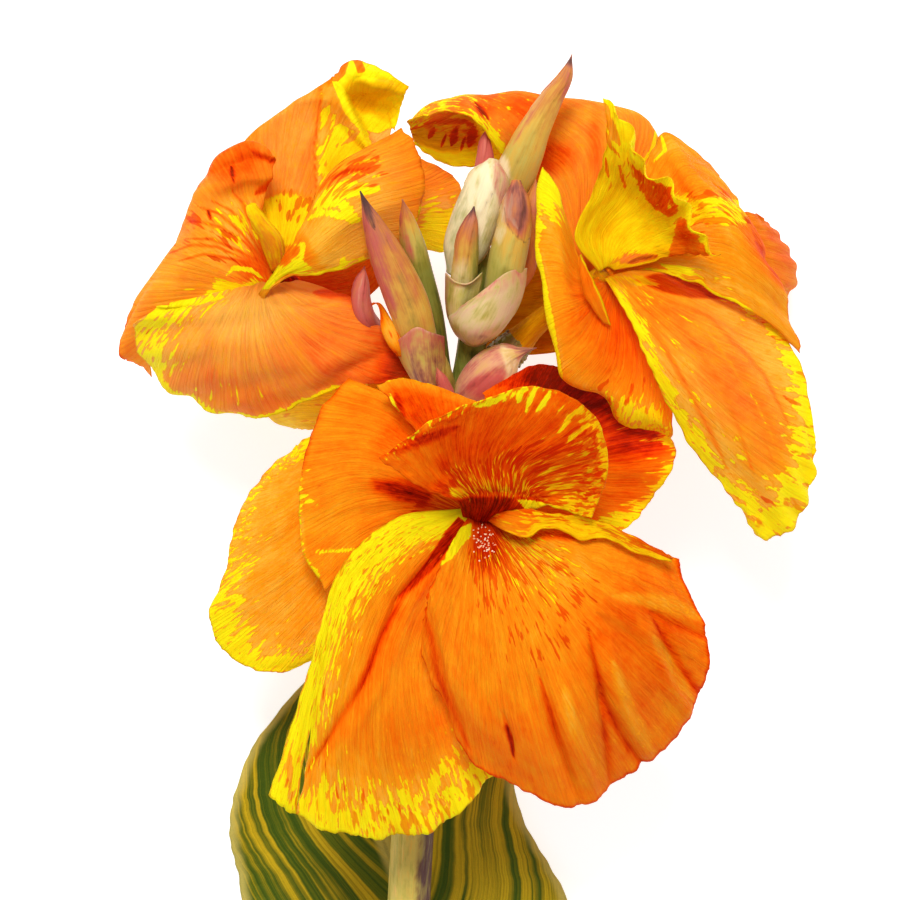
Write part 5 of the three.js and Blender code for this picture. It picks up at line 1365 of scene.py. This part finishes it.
BUDS["rear_pink_tip"] = dict(path=[
    (8.6, 68, 53), (8.7, 73, 54), (8.8, 77, 54.5), (9, 80.3, 55),
], radii=[2.8, 2.3, 1.5, 0.3], ground=dict(ripe=0.7, pink=0.9), strokes=[spot(9.5, 72, 1, 4, cream=0.5)])
BUDS["rear_orange_tip"] = dict(path=[
    (10.5, 34, 51), (15, 39, 53), (19, 45, 55), (20, 52, 56), (20.8, 58, 57), (21, 62.5, 57),
    (21.5, 68, 57),
], radii=[1.4, 1.6, 2.2, 2.2, 2.2, 2.1, 0.3], ground=dict(ripe=0.68), strokes=[
    spot(21, 62, 2, 5, pink=0.3),
])
BUDS["small_red_tip"] = dict(path=[
    (2, 10.5, 48.2), (0.5, 11.5, 55), (-0.5, 13.5, 61), (-2, 17.5, 64), (-3.3, 20.5, 65.5),
], radii=[0.9, 1, 1.8, 1.4, 0.3], ground=dict(ripe=0.74, pink=0.7), strokes=[
    spot(-2, 17, 3, 4, ripe=0.78),
])
BUDS["closed_bract"] = dict(path=[
    (1.5, 44, 57.5), (3.5, 50, 59.5), (5.8, 56.5, 61), (8.3, 63, 62), (10, 68.5, 62.5), (11, 72.5, 62),
], radii=[2.8, 5.4, 6, 5.9, 4.9, 1.6], ground=dict(ripe=0.36, cream=0.56), strokes=[
    area([(-4, 42), (2, 42), (4, 56), (6, 66), (0, 69), (-4, 56)], 3, green=0.9),
    line([(9, 72), (8.5, 64), (7.5, 54)], 1.4, cream=1),
    line([(6, 71), (5.5, 64), (4.5, 56)], 0.8, cream=0.8),
    area([(9, 66), (11, 66), (12.5, 58), (9.5, 50), (7, 52), (9, 58)], 2, green=0.5),
    area([(10.5, 73), (14.6, 72), (15.4, 62), (12.4, 60), (10.6, 66)], 1.4, pink=0.5),
    line([(11, 71), (13.5, 71.8), (15.2, 69)], 0.5, cream=0.9),
    area([(7.5, 58), (11, 60), (12, 52), (8, 46), (6, 50)], 1.5, green=0.6),
])

BRACTS = {}
BRACTS["scoop_bract"] = dict(ribs=[
    [(4, 26.6, 53), (6.2, 26.2, 54), (8.6, 26.6, 53)],
    [(0.9, 29.6, 58.5), (5.8, 27.3, 62.5), (12, 28.8, 58.5)],
    [(-0.4, 33, 60), (3, 30.8, 66), (7.5, 30.1, 68), (12, 31, 66), (15, 32.5, 60)],
    [(1.3, 34.5, 64), (4.5, 35, 69), (9, 35.3, 70.5), (13.8, 35.5, 67.5), (17.2, 36, 61)],
    [(3.3, 36, 68), (6, 37.5, 70.5), (10, 39.3, 71.5), (14.5, 40.5, 69), (18.8, 41.3, 62)],
    [(4.5, 36.5, 68.5), (7, 38.5, 70.5), (10.3, 41.3, 71.5), (14.3, 44.3, 69.5), (19.2, 45.5, 63)],
], ground=dict(ripe=0.38, cream=0.5, pink=0.28, green=0.12), strokes=[
    spot(6, 31, 8, 5, green=0.34), rim("far", 3, pink=0.5), spot(14, 34, 4, 7, green=0.3),
    spot(7, 28, 5, 1.4, brown=0.3), rim("far", 0.35, cream=0.6),
])
BRACTS["left_scoop_bract"] = dict(ribs=[
    [(2.8, 30, 53.6), (4, 29.5, 54.3), (5.2, 30, 54.4)],
    [(-0.3, 32.5, 57), (2, 31, 60.5), (5.8, 31.5, 60.3)],
    [(-1.2, 37.5, 58), (2.5, 37, 65.5), (7, 37.5, 63)],
    [(-1.2, 41.3, 60), (3, 40.8, 67.3), (8, 42.5, 64)],
    [(-1.1, 44.3, 61.5), (1.6, 41.8, 67.6), (4.5, 41.3, 68.6), (8, 44.3, 65)],
], ground=dict(ripe=0.36, cream=0.3), strokes=[
    rim("left", 3, pink=0.5), spot(4, 38, 2, 5, green=0.4), rim("far", 2, pink=0.4),
    rim("far", 0.35, cream=0.5),
])
BRACTS["left_sheath_bract"] = dict(ribs=[
    [(-1.5, 12, 46), (0, 11.5, 47.6), (1.5, 12, 48.2)],
    [(-8.5, 16.3, 57), (-5, 15.5, 62.5), (-1.5, 16.5, 58)],
    [(-12.4, 22.5, 57.5), (-10, 22.8, 62.8), (-6.5, 22.8, 64.8), (-1.2, 22, 57)],
    [(-13.8, 26.8, 60), (-11.5, 28.6, 66), (-8.2, 30.6, 68.2), (-5.4, 29.6, 67.4), (-1.4, 28.5, 58.5)],
], ground=dict(ripe=0.42, green=0.24, cream=0.24), strokes=[
    rim("far", 6, pink=0.66), spot(-6, 20, 4, 8, pink=0.46), spot(-6, 20, 5, 8, brown=0.42),
    rim("far", 0.6, cream=0.6),
])
BRACT_NIBBLE, BRACT_RELIEF, BRACT_RIM = 0.2, 0.05, 0.3
SEAM_BROWN = 0.3  # How brown a bud is along the edge of a sepal.

# The leaf's side veins bend outwards from the midrib, with ridges and slower swells between them. Its
# halves differ: half_step parts their patterns, and deeper makes one darker and the other lighter.
LEAF = {"nibble": 0.8, "bend": 0.022, "ridge": 0.09, "ridge_rate": 1.9, "swell": 0.12,
        "swell_rate": 0.5, "half_step": 17, "deeper": 0.03}
FLOOR_GAP = 0.1
LEAF_RIBS = [
    [(-24.3, -298, 8.6), (-22.1, -298, 2.5), (-17, -298, 0), (-11.9, -298, 2.5), (-9.7, -298, 8.6)],
    [(-25, -284, 7.5), (-22.3, -284, 2), (-17, -284, 0), (-11.7, -284, 2), (-9, -284, 7.5)],
    [(-30, -266, 4.5), (-23, -268, 1), (-16.5, -270, 0), (-10, -268, 1), (-3, -266, 4.5)],
    [(-43, -243, 5), (-29, -247, 1), (-15.5, -250, 0), (-3, -247, 1), (11, -243, 5)],
    [(-54, -212, 1), (-34, -216, 0), (-14.5, -220, 0), (6, -216, 0), (26, -212, 2)],
    [(-59, -184, 4), (-37, -188, 0), (-13.5, -192, 0), (10, -188, 0), (33, -184, 0)],
    [(-60, -158, 1), (-37, -162, 0), (-12.5, -166, 0), (12, -162, 0), (36, -158, 4)],
    [(-57, -136, 5), (-36, -138, 0.5), (-12, -141, 0), (12, -138, 0), (34, -135, 1)],
    [(-54.4, -117, 1.5), (-34, -117, 1), (-12.5, -118, 0), (10, -117, 0.5), (31, -117, 4)],
    [(-57.5, -97, 5), (-38, -96, 2.5), (-14, -96, 2), (4, -96, 2), (20, -97, 3)],
    [(-52, -78, 6), (-38, -76, 5), (-16, -75, 5), (-1, -75, 4.5), (14, -78, 3)],
    [(-36, -58, 9), (-28, -55, 9), (-18, -53, 9.5), (-9, -54, 8.5), (2, -56, 7)],
    [(-20, -41, 14), (-18.5, -40, 14), (-17, -39.5, 14), (-15.5, -40, 14), (-14, -41, 13.5)],
]

# ------------------------------------------------------------
# Geometry nodes: a stalk along a line, and grains scattered over a surface.

class GeometryTree(Graph):
    """A geometry node tree with named inputs, which ends as plain faces of one material."""

    def __init__(self, name):
        super().__init__(bpy.data.node_groups.new(name, "GeometryNodeTree"))
        self.tree.interface.new_socket("Geometry", in_out="INPUT", socket_type="NodeSocketGeometry")
        self.tree.interface.new_socket("Geometry", in_out="OUTPUT", socket_type="NodeSocketGeometry")
        self.entry = self.tree.nodes.new("NodeGroupInput")

    def value(self, name, kind):
        """A new named input of the tree."""
        self.tree.interface.new_socket(name, in_out="INPUT", socket_type=kind)
        return Wire(self, self.entry.outputs[name])

    def geometry(self):
        return Wire(self, self.entry.outputs["Geometry"])

    def named(self, name):
        return self.node("GeometryNodeInputNamedAttribute", {"data_type": "FLOAT"}, {"Name": name})

    def end(self, geometry, material):
        """Ends the tree with smooth real faces of one material."""
        smooth_faces = self.node("GeometryNodeSetShadeSmooth", {}, {"Geometry": geometry})
        real = self.node("GeometryNodeRealizeInstances", {}, {"Geometry": smooth_faces})
        dressed = self.node("GeometryNodeSetMaterial", {}, {"Geometry": real, "Material": material})
        self.node("NodeGroupOutput", {}, {"Geometry": dressed})

    def made(self, piece, inputs):
        """The plain mesh that the tree makes of a piece, which is then removed."""
        modifier = piece.modifiers.new(self.tree.name, "NODES")
        modifier.node_group = self.tree
        for item in self.tree.interface.items_tree:
            if item.in_out == "INPUT" and item.name in inputs:
                modifier[item.identifier] = inputs[item.name]
        bpy.context.view_layer.update()
        evaluated = piece.evaluated_get(bpy.context.evaluated_depsgraph_get())
        mesh = bpy.data.meshes.new_from_object(evaluated)
        bpy.data.objects.remove(piece)
        return mesh


def stalk_tree():
    """Wraps a line of points, each with a girth, in a round skin with fine lengthwise ridges."""
    tree = GeometryTree("Stalk along a line")
    sides = tree.value("Sides", "NodeSocketInt")
    ridges = tree.value("Ridges", "NodeSocketInt")
    depth = tree.value("Ridge depth", "NodeSocketFloat")
    material = tree.value("Material", "NodeSocketMaterial")
    line_curve = tree.node("GeometryNodeMeshToCurve", {}, {"Mesh": tree.geometry()})
    turn = tree.node("GeometryNodeSplineParameter")
    ring = tree.node("GeometryNodeCurvePrimitiveCircle", {"mode": "RADIUS"},
                     {"Resolution": sides, "Radius": 1.0})
    ring = tree.node("GeometryNodeStoreNamedAttribute", {"data_type": "FLOAT", "domain": "POINT"},
                     {"Geometry": ring, "Name": "turn", "Value": turn})
    wave = (turn * ridges * (2 * np.pi)).math("SINE")
    place = tree.node("GeometryNodeInputPosition")
    bulge = tree.node("ShaderNodeVectorMath", {"operation": "SCALE"},
                      {0: place, "Scale": wave * depth})
    ring = tree.node("GeometryNodeSetPosition", {}, {"Geometry": ring, "Offset": bulge})
    skin = tree.node("GeometryNodeCurveToMesh", {}, {"Curve": line_curve, "Profile Curve": ring,
                                                     "Scale": tree.named("girth"), "Fill Caps": True})
    tree.end(skin, material)
    return tree


def grain_tree():
    """Scatters small round grains over the part of a surface whose field "grains" is high."""
    tree = GeometryTree("Grains on a surface")
    density = tree.value("Density", "NodeSocketFloat")
    size = tree.value("Grain radius", "NodeSocketFloat")
    seed = tree.value("Seed", "NodeSocketInt")
    material = tree.value("Material", "NodeSocketMaterial")
    points = tree.node("GeometryNodeDistributePointsOnFaces", {"distribute_method": "RANDOM"},
                       {"Mesh": tree.geometry(), "Density": density * tree.named("grains"), "Seed": seed})
    grain_mesh = tree.node("GeometryNodeMeshIcoSphere", {}, {"Radius": size, "Subdivisions": 1})
    spread = tree.node("FunctionNodeRandomValue", {"data_type": "FLOAT_VECTOR"},
                       {0: (0.6, 0.6, 0.5), 1: (1.3, 1.3, 1.0), "Seed": seed})
    turned = tree.node("FunctionNodeRandomValue", {"data_type": "FLOAT_VECTOR"},
                       {0: (0, 0, 0), 1: (3, 3, 3), "Seed": seed})
    grains = tree.node("GeometryNodeInstanceOnPoints", {},
                       {"Points": points, "Instance": grain_mesh, "Rotation": turned, "Scale": spread})
    tree.end(grains, material)
    return tree


# ------------------------------------------------------------
# Settings.

class CannaPetalSettings(PropertyGroup):
    """Sizes and colours of the petals."""
    cell: FloatProperty(name="Cell", description="Spacing of a petal's mesh", default=0.00071,
                        unit="LENGTH")
    middle: FloatProperty(name="Middle thickness", description="Thickness of a petal away from its margins",
                          default=0.0006, unit="LENGTH")
    rim: FloatProperty(name="Margin thickness", description="Thickness of a petal at its margins",
                       default=0.00028, unit="LENGTH")
    vein_relief: FloatProperty(name="Vein relief", description="Height of the ridges along the veins",
                               default=0.00012, unit="LENGTH")
    frill: FloatProperty(name="Frill", description="Height of the small waves at the margins",
                         default=0.0009, unit="LENGTH")
    nibble: FloatProperty(name="Nibble", description="Depth of the small notches in the margins",
                          default=0.0007, unit="LENGTH")
    orange: FloatVectorProperty(name="Orange", description="Colour of plain petal skin", subtype="COLOR",
                                default=srgb(255, 126, 12))
    gold: FloatVectorProperty(name="Gold", description="Colour of the petals' margins", subtype="COLOR",
                              default=srgb(255, 236, 18))


class CannaBudSettings(PropertyGroup):
    """Sizes and colours of the buds and bracts."""
    cell: FloatProperty(name="Cell", description="Spacing of a bud's mesh", default=0.0006,
                        unit="LENGTH")
    sides: IntProperty(name="Sides", description="Faces round a bud", default=56)
    lap: FloatProperty(name="Lap", description="Height of the step where one sepal laps the next",
                       default=0.0004, unit="LENGTH")
    bract_thickness: FloatProperty(name="Bract thickness", default=0.0008, unit="LENGTH",
                                   description="Thickness of a bract away from its margin")
    pink: FloatVectorProperty(name="Pink", description="Colour of the flushed sepals", subtype="COLOR",
                              default=srgb(204, 98, 88))


class CannaStemSettings(PropertyGroup):
    """Sizes of the stem, the tubes and the ovaries' warts."""
    sides: IntProperty(name="Sides", description="Faces round the stem", default=96)
    ridges: IntProperty(name="Ridges", description="Lengthwise ridges round the stem", default=16)
    ridge_depth: FloatProperty(name="Ridge depth", description="Depth of a ridge, as a share of the girth",
                               default=0.012)
    wart_radius: FloatProperty(name="Wart radius", description="Size of the warts on the ovaries",
                               default=0.00035, unit="LENGTH")
    warts: FloatProperty(name="Warts", description="Warts on a square metre of ovary", default=900000.0)


class CannaLeafSettings(PropertyGroup):
    """Sizes and colours of the leaf."""
    cell: FloatProperty(name="Cell", description="Spacing of the leaf's mesh", default=0.0012,
                        unit="LENGTH")
    thickness: FloatProperty(name="Thickness", description="Thickness of the leaf", default=0.0007,
                             unit="LENGTH")
    light: FloatVectorProperty(name="Light bands", description="Colour of the golden bands",
                               subtype="COLOR", default=srgb(196, 164, 22))
    dark: FloatVectorProperty(name="Dark bands", description="Colour of the green bands",
                              subtype="COLOR", default=srgb(52, 76, 8))


class CannaPollenSettings(PropertyGroup):
    """Size and number of the pollen crumbs."""
    radius: FloatProperty(name="Radius", description="Size of a pollen crumb", default=0.00028,
                          unit="LENGTH")
    crumbs: FloatProperty(name="Crumbs", description="Crumbs on a square metre where they lie thickest",
                          default=1600000.0)


class CannaStageSettings(PropertyGroup):
    """The floor, the lights and the camera."""
    camera_height: FloatProperty(name="Camera height", description="Height of the camera over the floor",
                                 default=1.56, unit="LENGTH")
    lens: FloatProperty(name="Lens", description="Focal length of the camera in millimetres",
                        default=240.0)
    floor: FloatProperty(name="Floor", description="Width of the floor", default=8.0, unit="LENGTH")
    daylight: FloatProperty(name="Daylight", description="Strength of the even light from all round",
                            default=0.58)
    key: FloatProperty(name="Key light", description="Strength of the soft light over the flowers",
                       default=2.3)
    softness: FloatProperty(name="Softness", description="Width of the key light, which blurs the shadows",
                            default=0.34, subtype="ANGLE")


# ------------------------------------------------------------
# Building steps.

THINNING = 3  # Millimetres from the margin within which a petal is thinner.
BRACT_THINNING = 2.5
THROAT = np.array((8, -23))  # The middle of the pollen, and how far it spreads each way.
THROAT_SPREAD = np.array((2.6, 3.6))
THINNEST_POLLEN = 0.2
KEY_DIRECTION = Vector((-0.08, 0.5, 0.86))
SENSOR_WIDTH = 36.0


def petal_material(context):
    """The one petal skin, made when it is first asked for."""
    return bpy.data.materials.get("petal skin") or petal_finish(context.scene.canna_petals)


def bud_material(context):
    """The one skin of buds, bracts and stem, made when it is first asked for."""
    return bpy.data.materials.get("bud skin") or bud_finish(context.scene.canna_buds)


def make_petal(context, node, petal, seed):
    """A petal in its node's place: lofted, waved, creased, veined and painted."""
    settings = context.scene.canna_petals
    margin = settings.rim / MM
    middle = petal.get("thickness", settings.middle / MM)
    blade = Blade(petal["ribs"], settings.cell / MM, seed, petal.get("nibble", settings.nibble / MM),
                  fan=petal.get("fan"))
    if "ruffle" in petal:
        blade.ruffle(*petal["ruffle"])
    for crease in petal.get("creases", ()):
        blade.crease(*crease)
    blade.corrugate(settings.vein_relief / MM, seed)
    blade.frill(settings.frill / MM, seed)
    blade.measure()
    fields = painted(blade, PETAL_FIELDS, petal["ground"], petal["strokes"])
    fields.update(margin=blade.margin, blade=skin_places(blade, seed))
    thickness = margin + (middle - margin) * smooth(0, THINNING, blade.margin)
    make_sheet(node, blade, thickness, petal.get("slits", ()), fields, petal_material(context))


def make_bloom(context, bloom, petals):
    """Each petal of a bloom, with a seed of its own."""
    for seed, (name, petal) in enumerate(petals.items(), SEEDS[bloom]):
        make_petal(context, f"{bloom}_bloom_{name}", petal, seed)


class CANNA_OT_front_bloom(Operator):
    """Builds the front bloom: hood, lip, five petals and the petal-like stamen"""
    bl_idname = "canna.front_bloom"
    bl_label = "Front bloom"

    def execute(self, context):
        make_bloom(context, "front", FRONT_BLOOM)
        return {"FINISHED"}


class CANNA_OT_left_bloom(Operator):
    """Builds the left bloom: six petals, the style and a spent petal"""
    bl_idname = "canna.left_bloom"
    bl_label = "Left bloom"

    def execute(self, context):
        make_bloom(context, "left", LEFT_BLOOM)
        return {"FINISHED"}


class CANNA_OT_right_bloom(Operator):
    """Builds the right bloom: seven petals and the petal-like stamen"""
    bl_idname = "canna.right_bloom"
    bl_label = "Right bloom"

    def execute(self, context):
        make_bloom(context, "right", RIGHT_BLOOM)
        return {"FINISHED"}


class CANNA_OT_buds(Operator):
    """Builds the unopened buds, with their sepals lapped in a spiral"""
    bl_idname = "canna.buds"
    bl_label = "Buds"

    def execute(self, context):
        settings = context.scene.canna_buds
        for seed, (node, bud) in enumerate(BUDS.items()):
            shoot = Shoot(bud["path"], bud["radii"], settings.cell / MM, settings.sides,
                          settings.lap / MM)
            fields = painted(shoot, BUD_FIELDS, bud["ground"], bud["strokes"])
            fields["brown"] = np.maximum(fields["brown"], SEAM_BROWN * shoot.seam)
            fields = {name: shoot.with_ends(values) for name, values in fields.items()}
            skin = skin_places(shoot, seed)
            fields["blade"] = np.concatenate([skin.reshape(-1, 3), skin[0, :1], skin[-1, :1]])
            piece = new_piece(f"{node}_shoot", *shoot.points_and_faces(), fields,
                              bud_material(context))
            stand_for(piece, node)
        return {"FINISHED"}


class CANNA_OT_bracts(Operator):
    """Builds the open bracts that wrap the buds"""
    bl_idname = "canna.bracts"
    bl_label = "Bracts"

    def execute(self, context):
        settings = context.scene.canna_buds
        middle = settings.bract_thickness / MM
        for seed, (node, bract) in enumerate(BRACTS.items(), SEEDS["bracts"]):
            blade = Blade(bract["ribs"], settings.cell / MM, seed, BRACT_NIBBLE)
            blade.corrugate(BRACT_RELIEF, seed)
            blade.measure()
            thickness = BRACT_RIM + (middle - BRACT_RIM) * smooth(0, BRACT_THINNING, blade.margin)
            fields = painted(blade, BUD_FIELDS, bract["ground"], bract["strokes"])
            fields["blade"] = skin_places(blade, seed)
            make_sheet(node, blade, thickness, (), fields, bud_material(context))
        return {"FINISHED"}


def stalk_line(name, shape, rows):
    """A line of points with a girth at each, for the stalk tree."""
    t = np.linspace(0, 1, rows + 1)
    points = (curve_points(shape["path"], t) + HEAD) * MM
    mesh = bpy.data.meshes.new(name)
    mesh.from_pydata(points.tolist(), [(k, k + 1) for k in range(rows)], [])
    keep_fields(mesh, {"girth": girth_at(shape["radii"], t) * MM})
    return add_object(name, mesh)


class CANNA_OT_stem(Operator):
    """Builds the stem and the ovary and tube under each bloom, with warts on the ovaries"""
    bl_idname = "canna.stem"
    bl_label = "Stem and tubes"

    def execute(self, context):
        settings = context.scene.canna_stem
        stalks, grains = stalk_tree(), grain_tree()
        for seed, (node, shape) in enumerate({"stem": STEM, **TUBES}.items()):
            kind = "stem" if node == "stem" else "tube"
            middle_line = stalk_line(f"{node}_line", shape, STALK_ROWS[kind])
            mesh = stalks.made(middle_line, {
                "Sides": settings.sides, "Ridges": settings.ridges,
                "Ridge depth": settings.ridge_depth, "Material": bud_material(context)})
            mesh.name = f"{node}_stalk"
            face_outwards(mesh)
            keep_fields(mesh, {"blade": stalk_skin(mesh, seed)})
            piece = add_object(f"{node}_stalk", mesh)
            if kind == "stem":
                keep_fields(mesh, stem_fields(mesh))
                add_cut_face(mesh)
            else:
                mesh.materials.append(petal_material(context))
                keep_fields(mesh, tube_fields(mesh, shape))
                add_warts(context, node, piece, grains, seed)
            stand_for(piece, node)
        return {"FINISHED"}


def stalk_skin(mesh, seed):
    """Where each point of a stalk lies on its flattened skin, in millimetres."""
    turn = np.zeros(len(mesh.vertices), np.float32)
    mesh.attributes["turn"].data.foreach_get("value", turn)
    _, y, z = places_on(mesh).T
    return np.stack([turn * STALK_SKIN_WIDTH + SKIN_STEP * seed, y, z], axis=-1)


def stem_fields(mesh):
    """The stem: dark green between the buds, and below them paler on its left and brown on its right,
    painted light and shade across the round stem.
    """
    x, y, _ = places_on(mesh).T
    middle = np.interp(y, [p[1] for p in STEM["path"]], [p[0] for p in STEM["path"]])
    low = 1 - smooth(-90, -40, y)
    return {"ripe": 0.12 + 0.24 * low, "green": 0.4 * (1 - low),
            # Painted light and shade: cream on the left of the stem's middle line, brown on its right.
            "cream": 0.2 * low * (1 - smooth(-3, 1, x - middle)),
            "brown": 0.75 * low * smooth(-1, 4, x - middle)}


def tube_fields(mesh, shape):
    """A tube: green and pink at its swollen foot, and beyond that petal skin, the second finish."""
    places = places_on(mesh)
    foot, end = np.array(shape["path"])[[1, -1]]
    for polygon in mesh.polygons:
        if np.linalg.norm(places[polygon.vertices[0]] - foot) > OVARY_REACH:
            polygon.material_index = 1
    near_end = np.linalg.norm(places - end, axis=1)
    amber = shape.get("amber", 0)
    return {"ripe": 0.2, "green": 0.4, "pink": 0.3, "brown": 0.35, "streak": 0.5, "margin": 9,
            "tone": 0.68 + 0.3 * (1 - smooth(2, 9, near_end)), "gold": amber, "shade": amber * 0.8}


def add_cut_face(mesh):
    """Gives the end cap at the cut the finish of cut flesh. Only caps have more than four corners."""
    mesh.materials.append(cut_finish())
    lowest = min(polygon.center.y for polygon in mesh.polygons)
    for polygon in mesh.polygons:
        if len(polygon.vertices) > 4:
            polygon.use_smooth = False
            if polygon.center.y < lowest + MM:
                polygon.material_index = 1


def scatter(name, surface, weight, tree, inputs):
    """A piece of grains that lie on another piece, as thick as weight says of its points' places."""
    ground = add_object(f"{name}_ground", surface.data.copy())
    keep_fields(ground.data, {"grains": weight(places_on(ground.data))})
    grains = add_object(name, tree.made(ground, inputs))
    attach(grains, BODY)
    return grains


def add_warts(context, node, piece, tree, seed):
    """Small warts over the ovary, the swollen foot of a bloom's tube."""
    def near_ovary(places):
        return np.linalg.norm(places - TUBES[node]["path"][1], axis=1) < WART_REACH

    settings = context.scene.canna_stem
    warts = scatter(f"{node}_warts", piece, near_ovary, tree, {
        "Density": settings.warts, "Grain radius": settings.wart_radius, "Seed": seed,
        "Material": bud_material(context)})
    keep_fields(warts.data, {"ripe": 0.3, "green": 0.3, "pink": 0.4})


class CANNA_OT_leaf(Operator):
    """Builds the striped leaf, lying under the stem and sheathing its foot"""
    bl_idname = "canna.leaf"
    bl_label = "Leaf"

    def execute(self, context):
        settings = context.scene.canna_leaf
        seed = SEEDS["leaf"]
        thickness = settings.thickness / MM
        lowest = FLOOR_GAP + thickness / 2
        blade = Blade(LEAF_RIBS, settings.cell / MM, seed, LEAF["nibble"], floor=lowest)
        across = (blade.v - 0.5) * blade.width
        reach, side = np.abs(across), np.sign(across)
        along = blade.u * blade.length
        veins = along - reach - LEAF["bend"] * reach ** 2
        ripple = (LEAF["ridge"] * np.sin(veins * LEAF["ridge_rate"] + side)
                  + LEAF["swell"] * grain(veins * LEAF["swell_rate"], side, seed))
        blade.push(ripple * smooth(1.5, 6, reach) * smooth(0, 3, blade.margin))
        blade.grid[..., 2] = np.maximum(blade.grid[..., 2], lowest)
        blade.measure()
        fields = {"margin": np.minimum(blade.edges["left"], blade.edges["right"]), "midrib": reach,
                  "deep": -LEAF["deeper"] * side,
                  "blade": np.stack([veins, along, side * LEAF["half_step"]], axis=-1)}
        make_sheet("leaf", blade, thickness, (), fields, leaf_finish(settings))
        return {"FINISHED"}


class CANNA_OT_pollen(Operator):
    """Scatters pollen crumbs over the throat of the front bloom"""
    bl_idname = "canna.pollen"
    bl_label = "Pollen"

    def execute(self, context):
        def in_throat(places):
            weight = np.exp(-np.sum(((places[:, :2] - THROAT) / THROAT_SPREAD) ** 2, axis=1))
            return weight * (weight > THINNEST_POLLEN)

        settings = context.scene.canna_pollen
        scatter("front_bloom_pollen", bpy.data.objects["front_bloom_lip_blade"], in_throat,
                grain_tree(), {"Density": settings.crumbs, "Grain radius": settings.radius,
                               "Seed": SEEDS["pollen"], "Material": pollen_finish()})
        return {"FINISHED"}


class CANNA_OT_stage(Operator):
    """Lays the pale floor, hangs the soft lights and sets the camera over the flower head"""
    bl_idname = "canna.stage"
    bl_label = "Stage"

    def execute(self, context):
        scene = context.scene
        settings = scene.canna_stage
        half = settings.floor / 2
        corners = [(-half, -half, 0), (half, -half, 0), (half, half, 0), (-half, half, 0)]
        floor_mesh = bpy.data.meshes.new("floor")
        floor_mesh.from_pydata(corners, [], [(0, 1, 2, 3)])
        floor_mesh.materials.append(floor_finish())
        floor = add_object("floor", floor_mesh)
        world = bpy.data.worlds.new("even daylight")
        world.use_nodes = True
        sky = world.node_tree.nodes["Background"]
        sky.inputs["Color"].default_value = (1, 1, 1, 1)
        sky.inputs["Strength"].default_value = settings.daylight
        scene.world = world
        sun = bpy.data.lights.new("soft key light", "SUN")
        sun.energy = settings.key
        sun.angle = settings.softness
        key = add_object("soft key light", sun)
        key.rotation_euler = KEY_DIRECTION.to_track_quat("Z", "Y").to_euler()
        camera = add_object("camera", bpy.data.cameras.new("camera"))
        camera.data.lens = settings.lens
        camera.data.sensor_width = SENSOR_WIDTH
        head_x, head_y, _ = HEAD * MM
        camera.location = (head_x, head_y, settings.camera_height)
        scene.camera = camera
        scene.view_settings.view_transform = "Standard"
        return {"FINISHED"}


STEPS = (CANNA_OT_stage, CANNA_OT_stem, CANNA_OT_leaf, CANNA_OT_front_bloom, CANNA_OT_left_bloom,
         CANNA_OT_right_bloom, CANNA_OT_bracts, CANNA_OT_buds, CANNA_OT_pollen)
SETTINGS = {"canna_petals": CannaPetalSettings, "canna_buds": CannaBudSettings,
            "canna_stem": CannaStemSettings, "canna_leaf": CannaLeafSettings,
            "canna_pollen": CannaPollenSettings, "canna_stage": CannaStageSettings}


class CANNA_PT_panel(Panel):
    """The settings and the steps, in the 3D view's sidebar."""
    bl_label = "Canna lily cutting"
    bl_idname = "CANNA_PT_panel"
    bl_space_type = "VIEW_3D"
    bl_region_type = "UI"
    bl_category = "Canna"

    def draw(self, context):
        for name, group in SETTINGS.items():
            box = self.layout.box()
            for field in group.__annotations__:
                box.prop(getattr(context.scene, name), field)
        for step in STEPS:
            self.layout.operator(step.bl_idname)


def register():
    for group in (*SETTINGS.values(), *STEPS, CANNA_PT_panel):
        bpy.utils.register_class(group)
    for name, group in SETTINGS.items():
        setattr(bpy.types.Scene, name, PointerProperty(type=group))


def unregister():
    for name in SETTINGS:
        delattr(bpy.types.Scene, name)
    for group in (CANNA_PT_panel, *reversed(STEPS), *reversed(SETTINGS.values())):
        bpy.utils.unregister_class(group)


def main():
    """Builds everything."""
    register()
    for step in STEPS:
        getattr(bpy.ops.canna, step.bl_idname.removeprefix("canna."))()


if __name__ == "__main__":
    main()
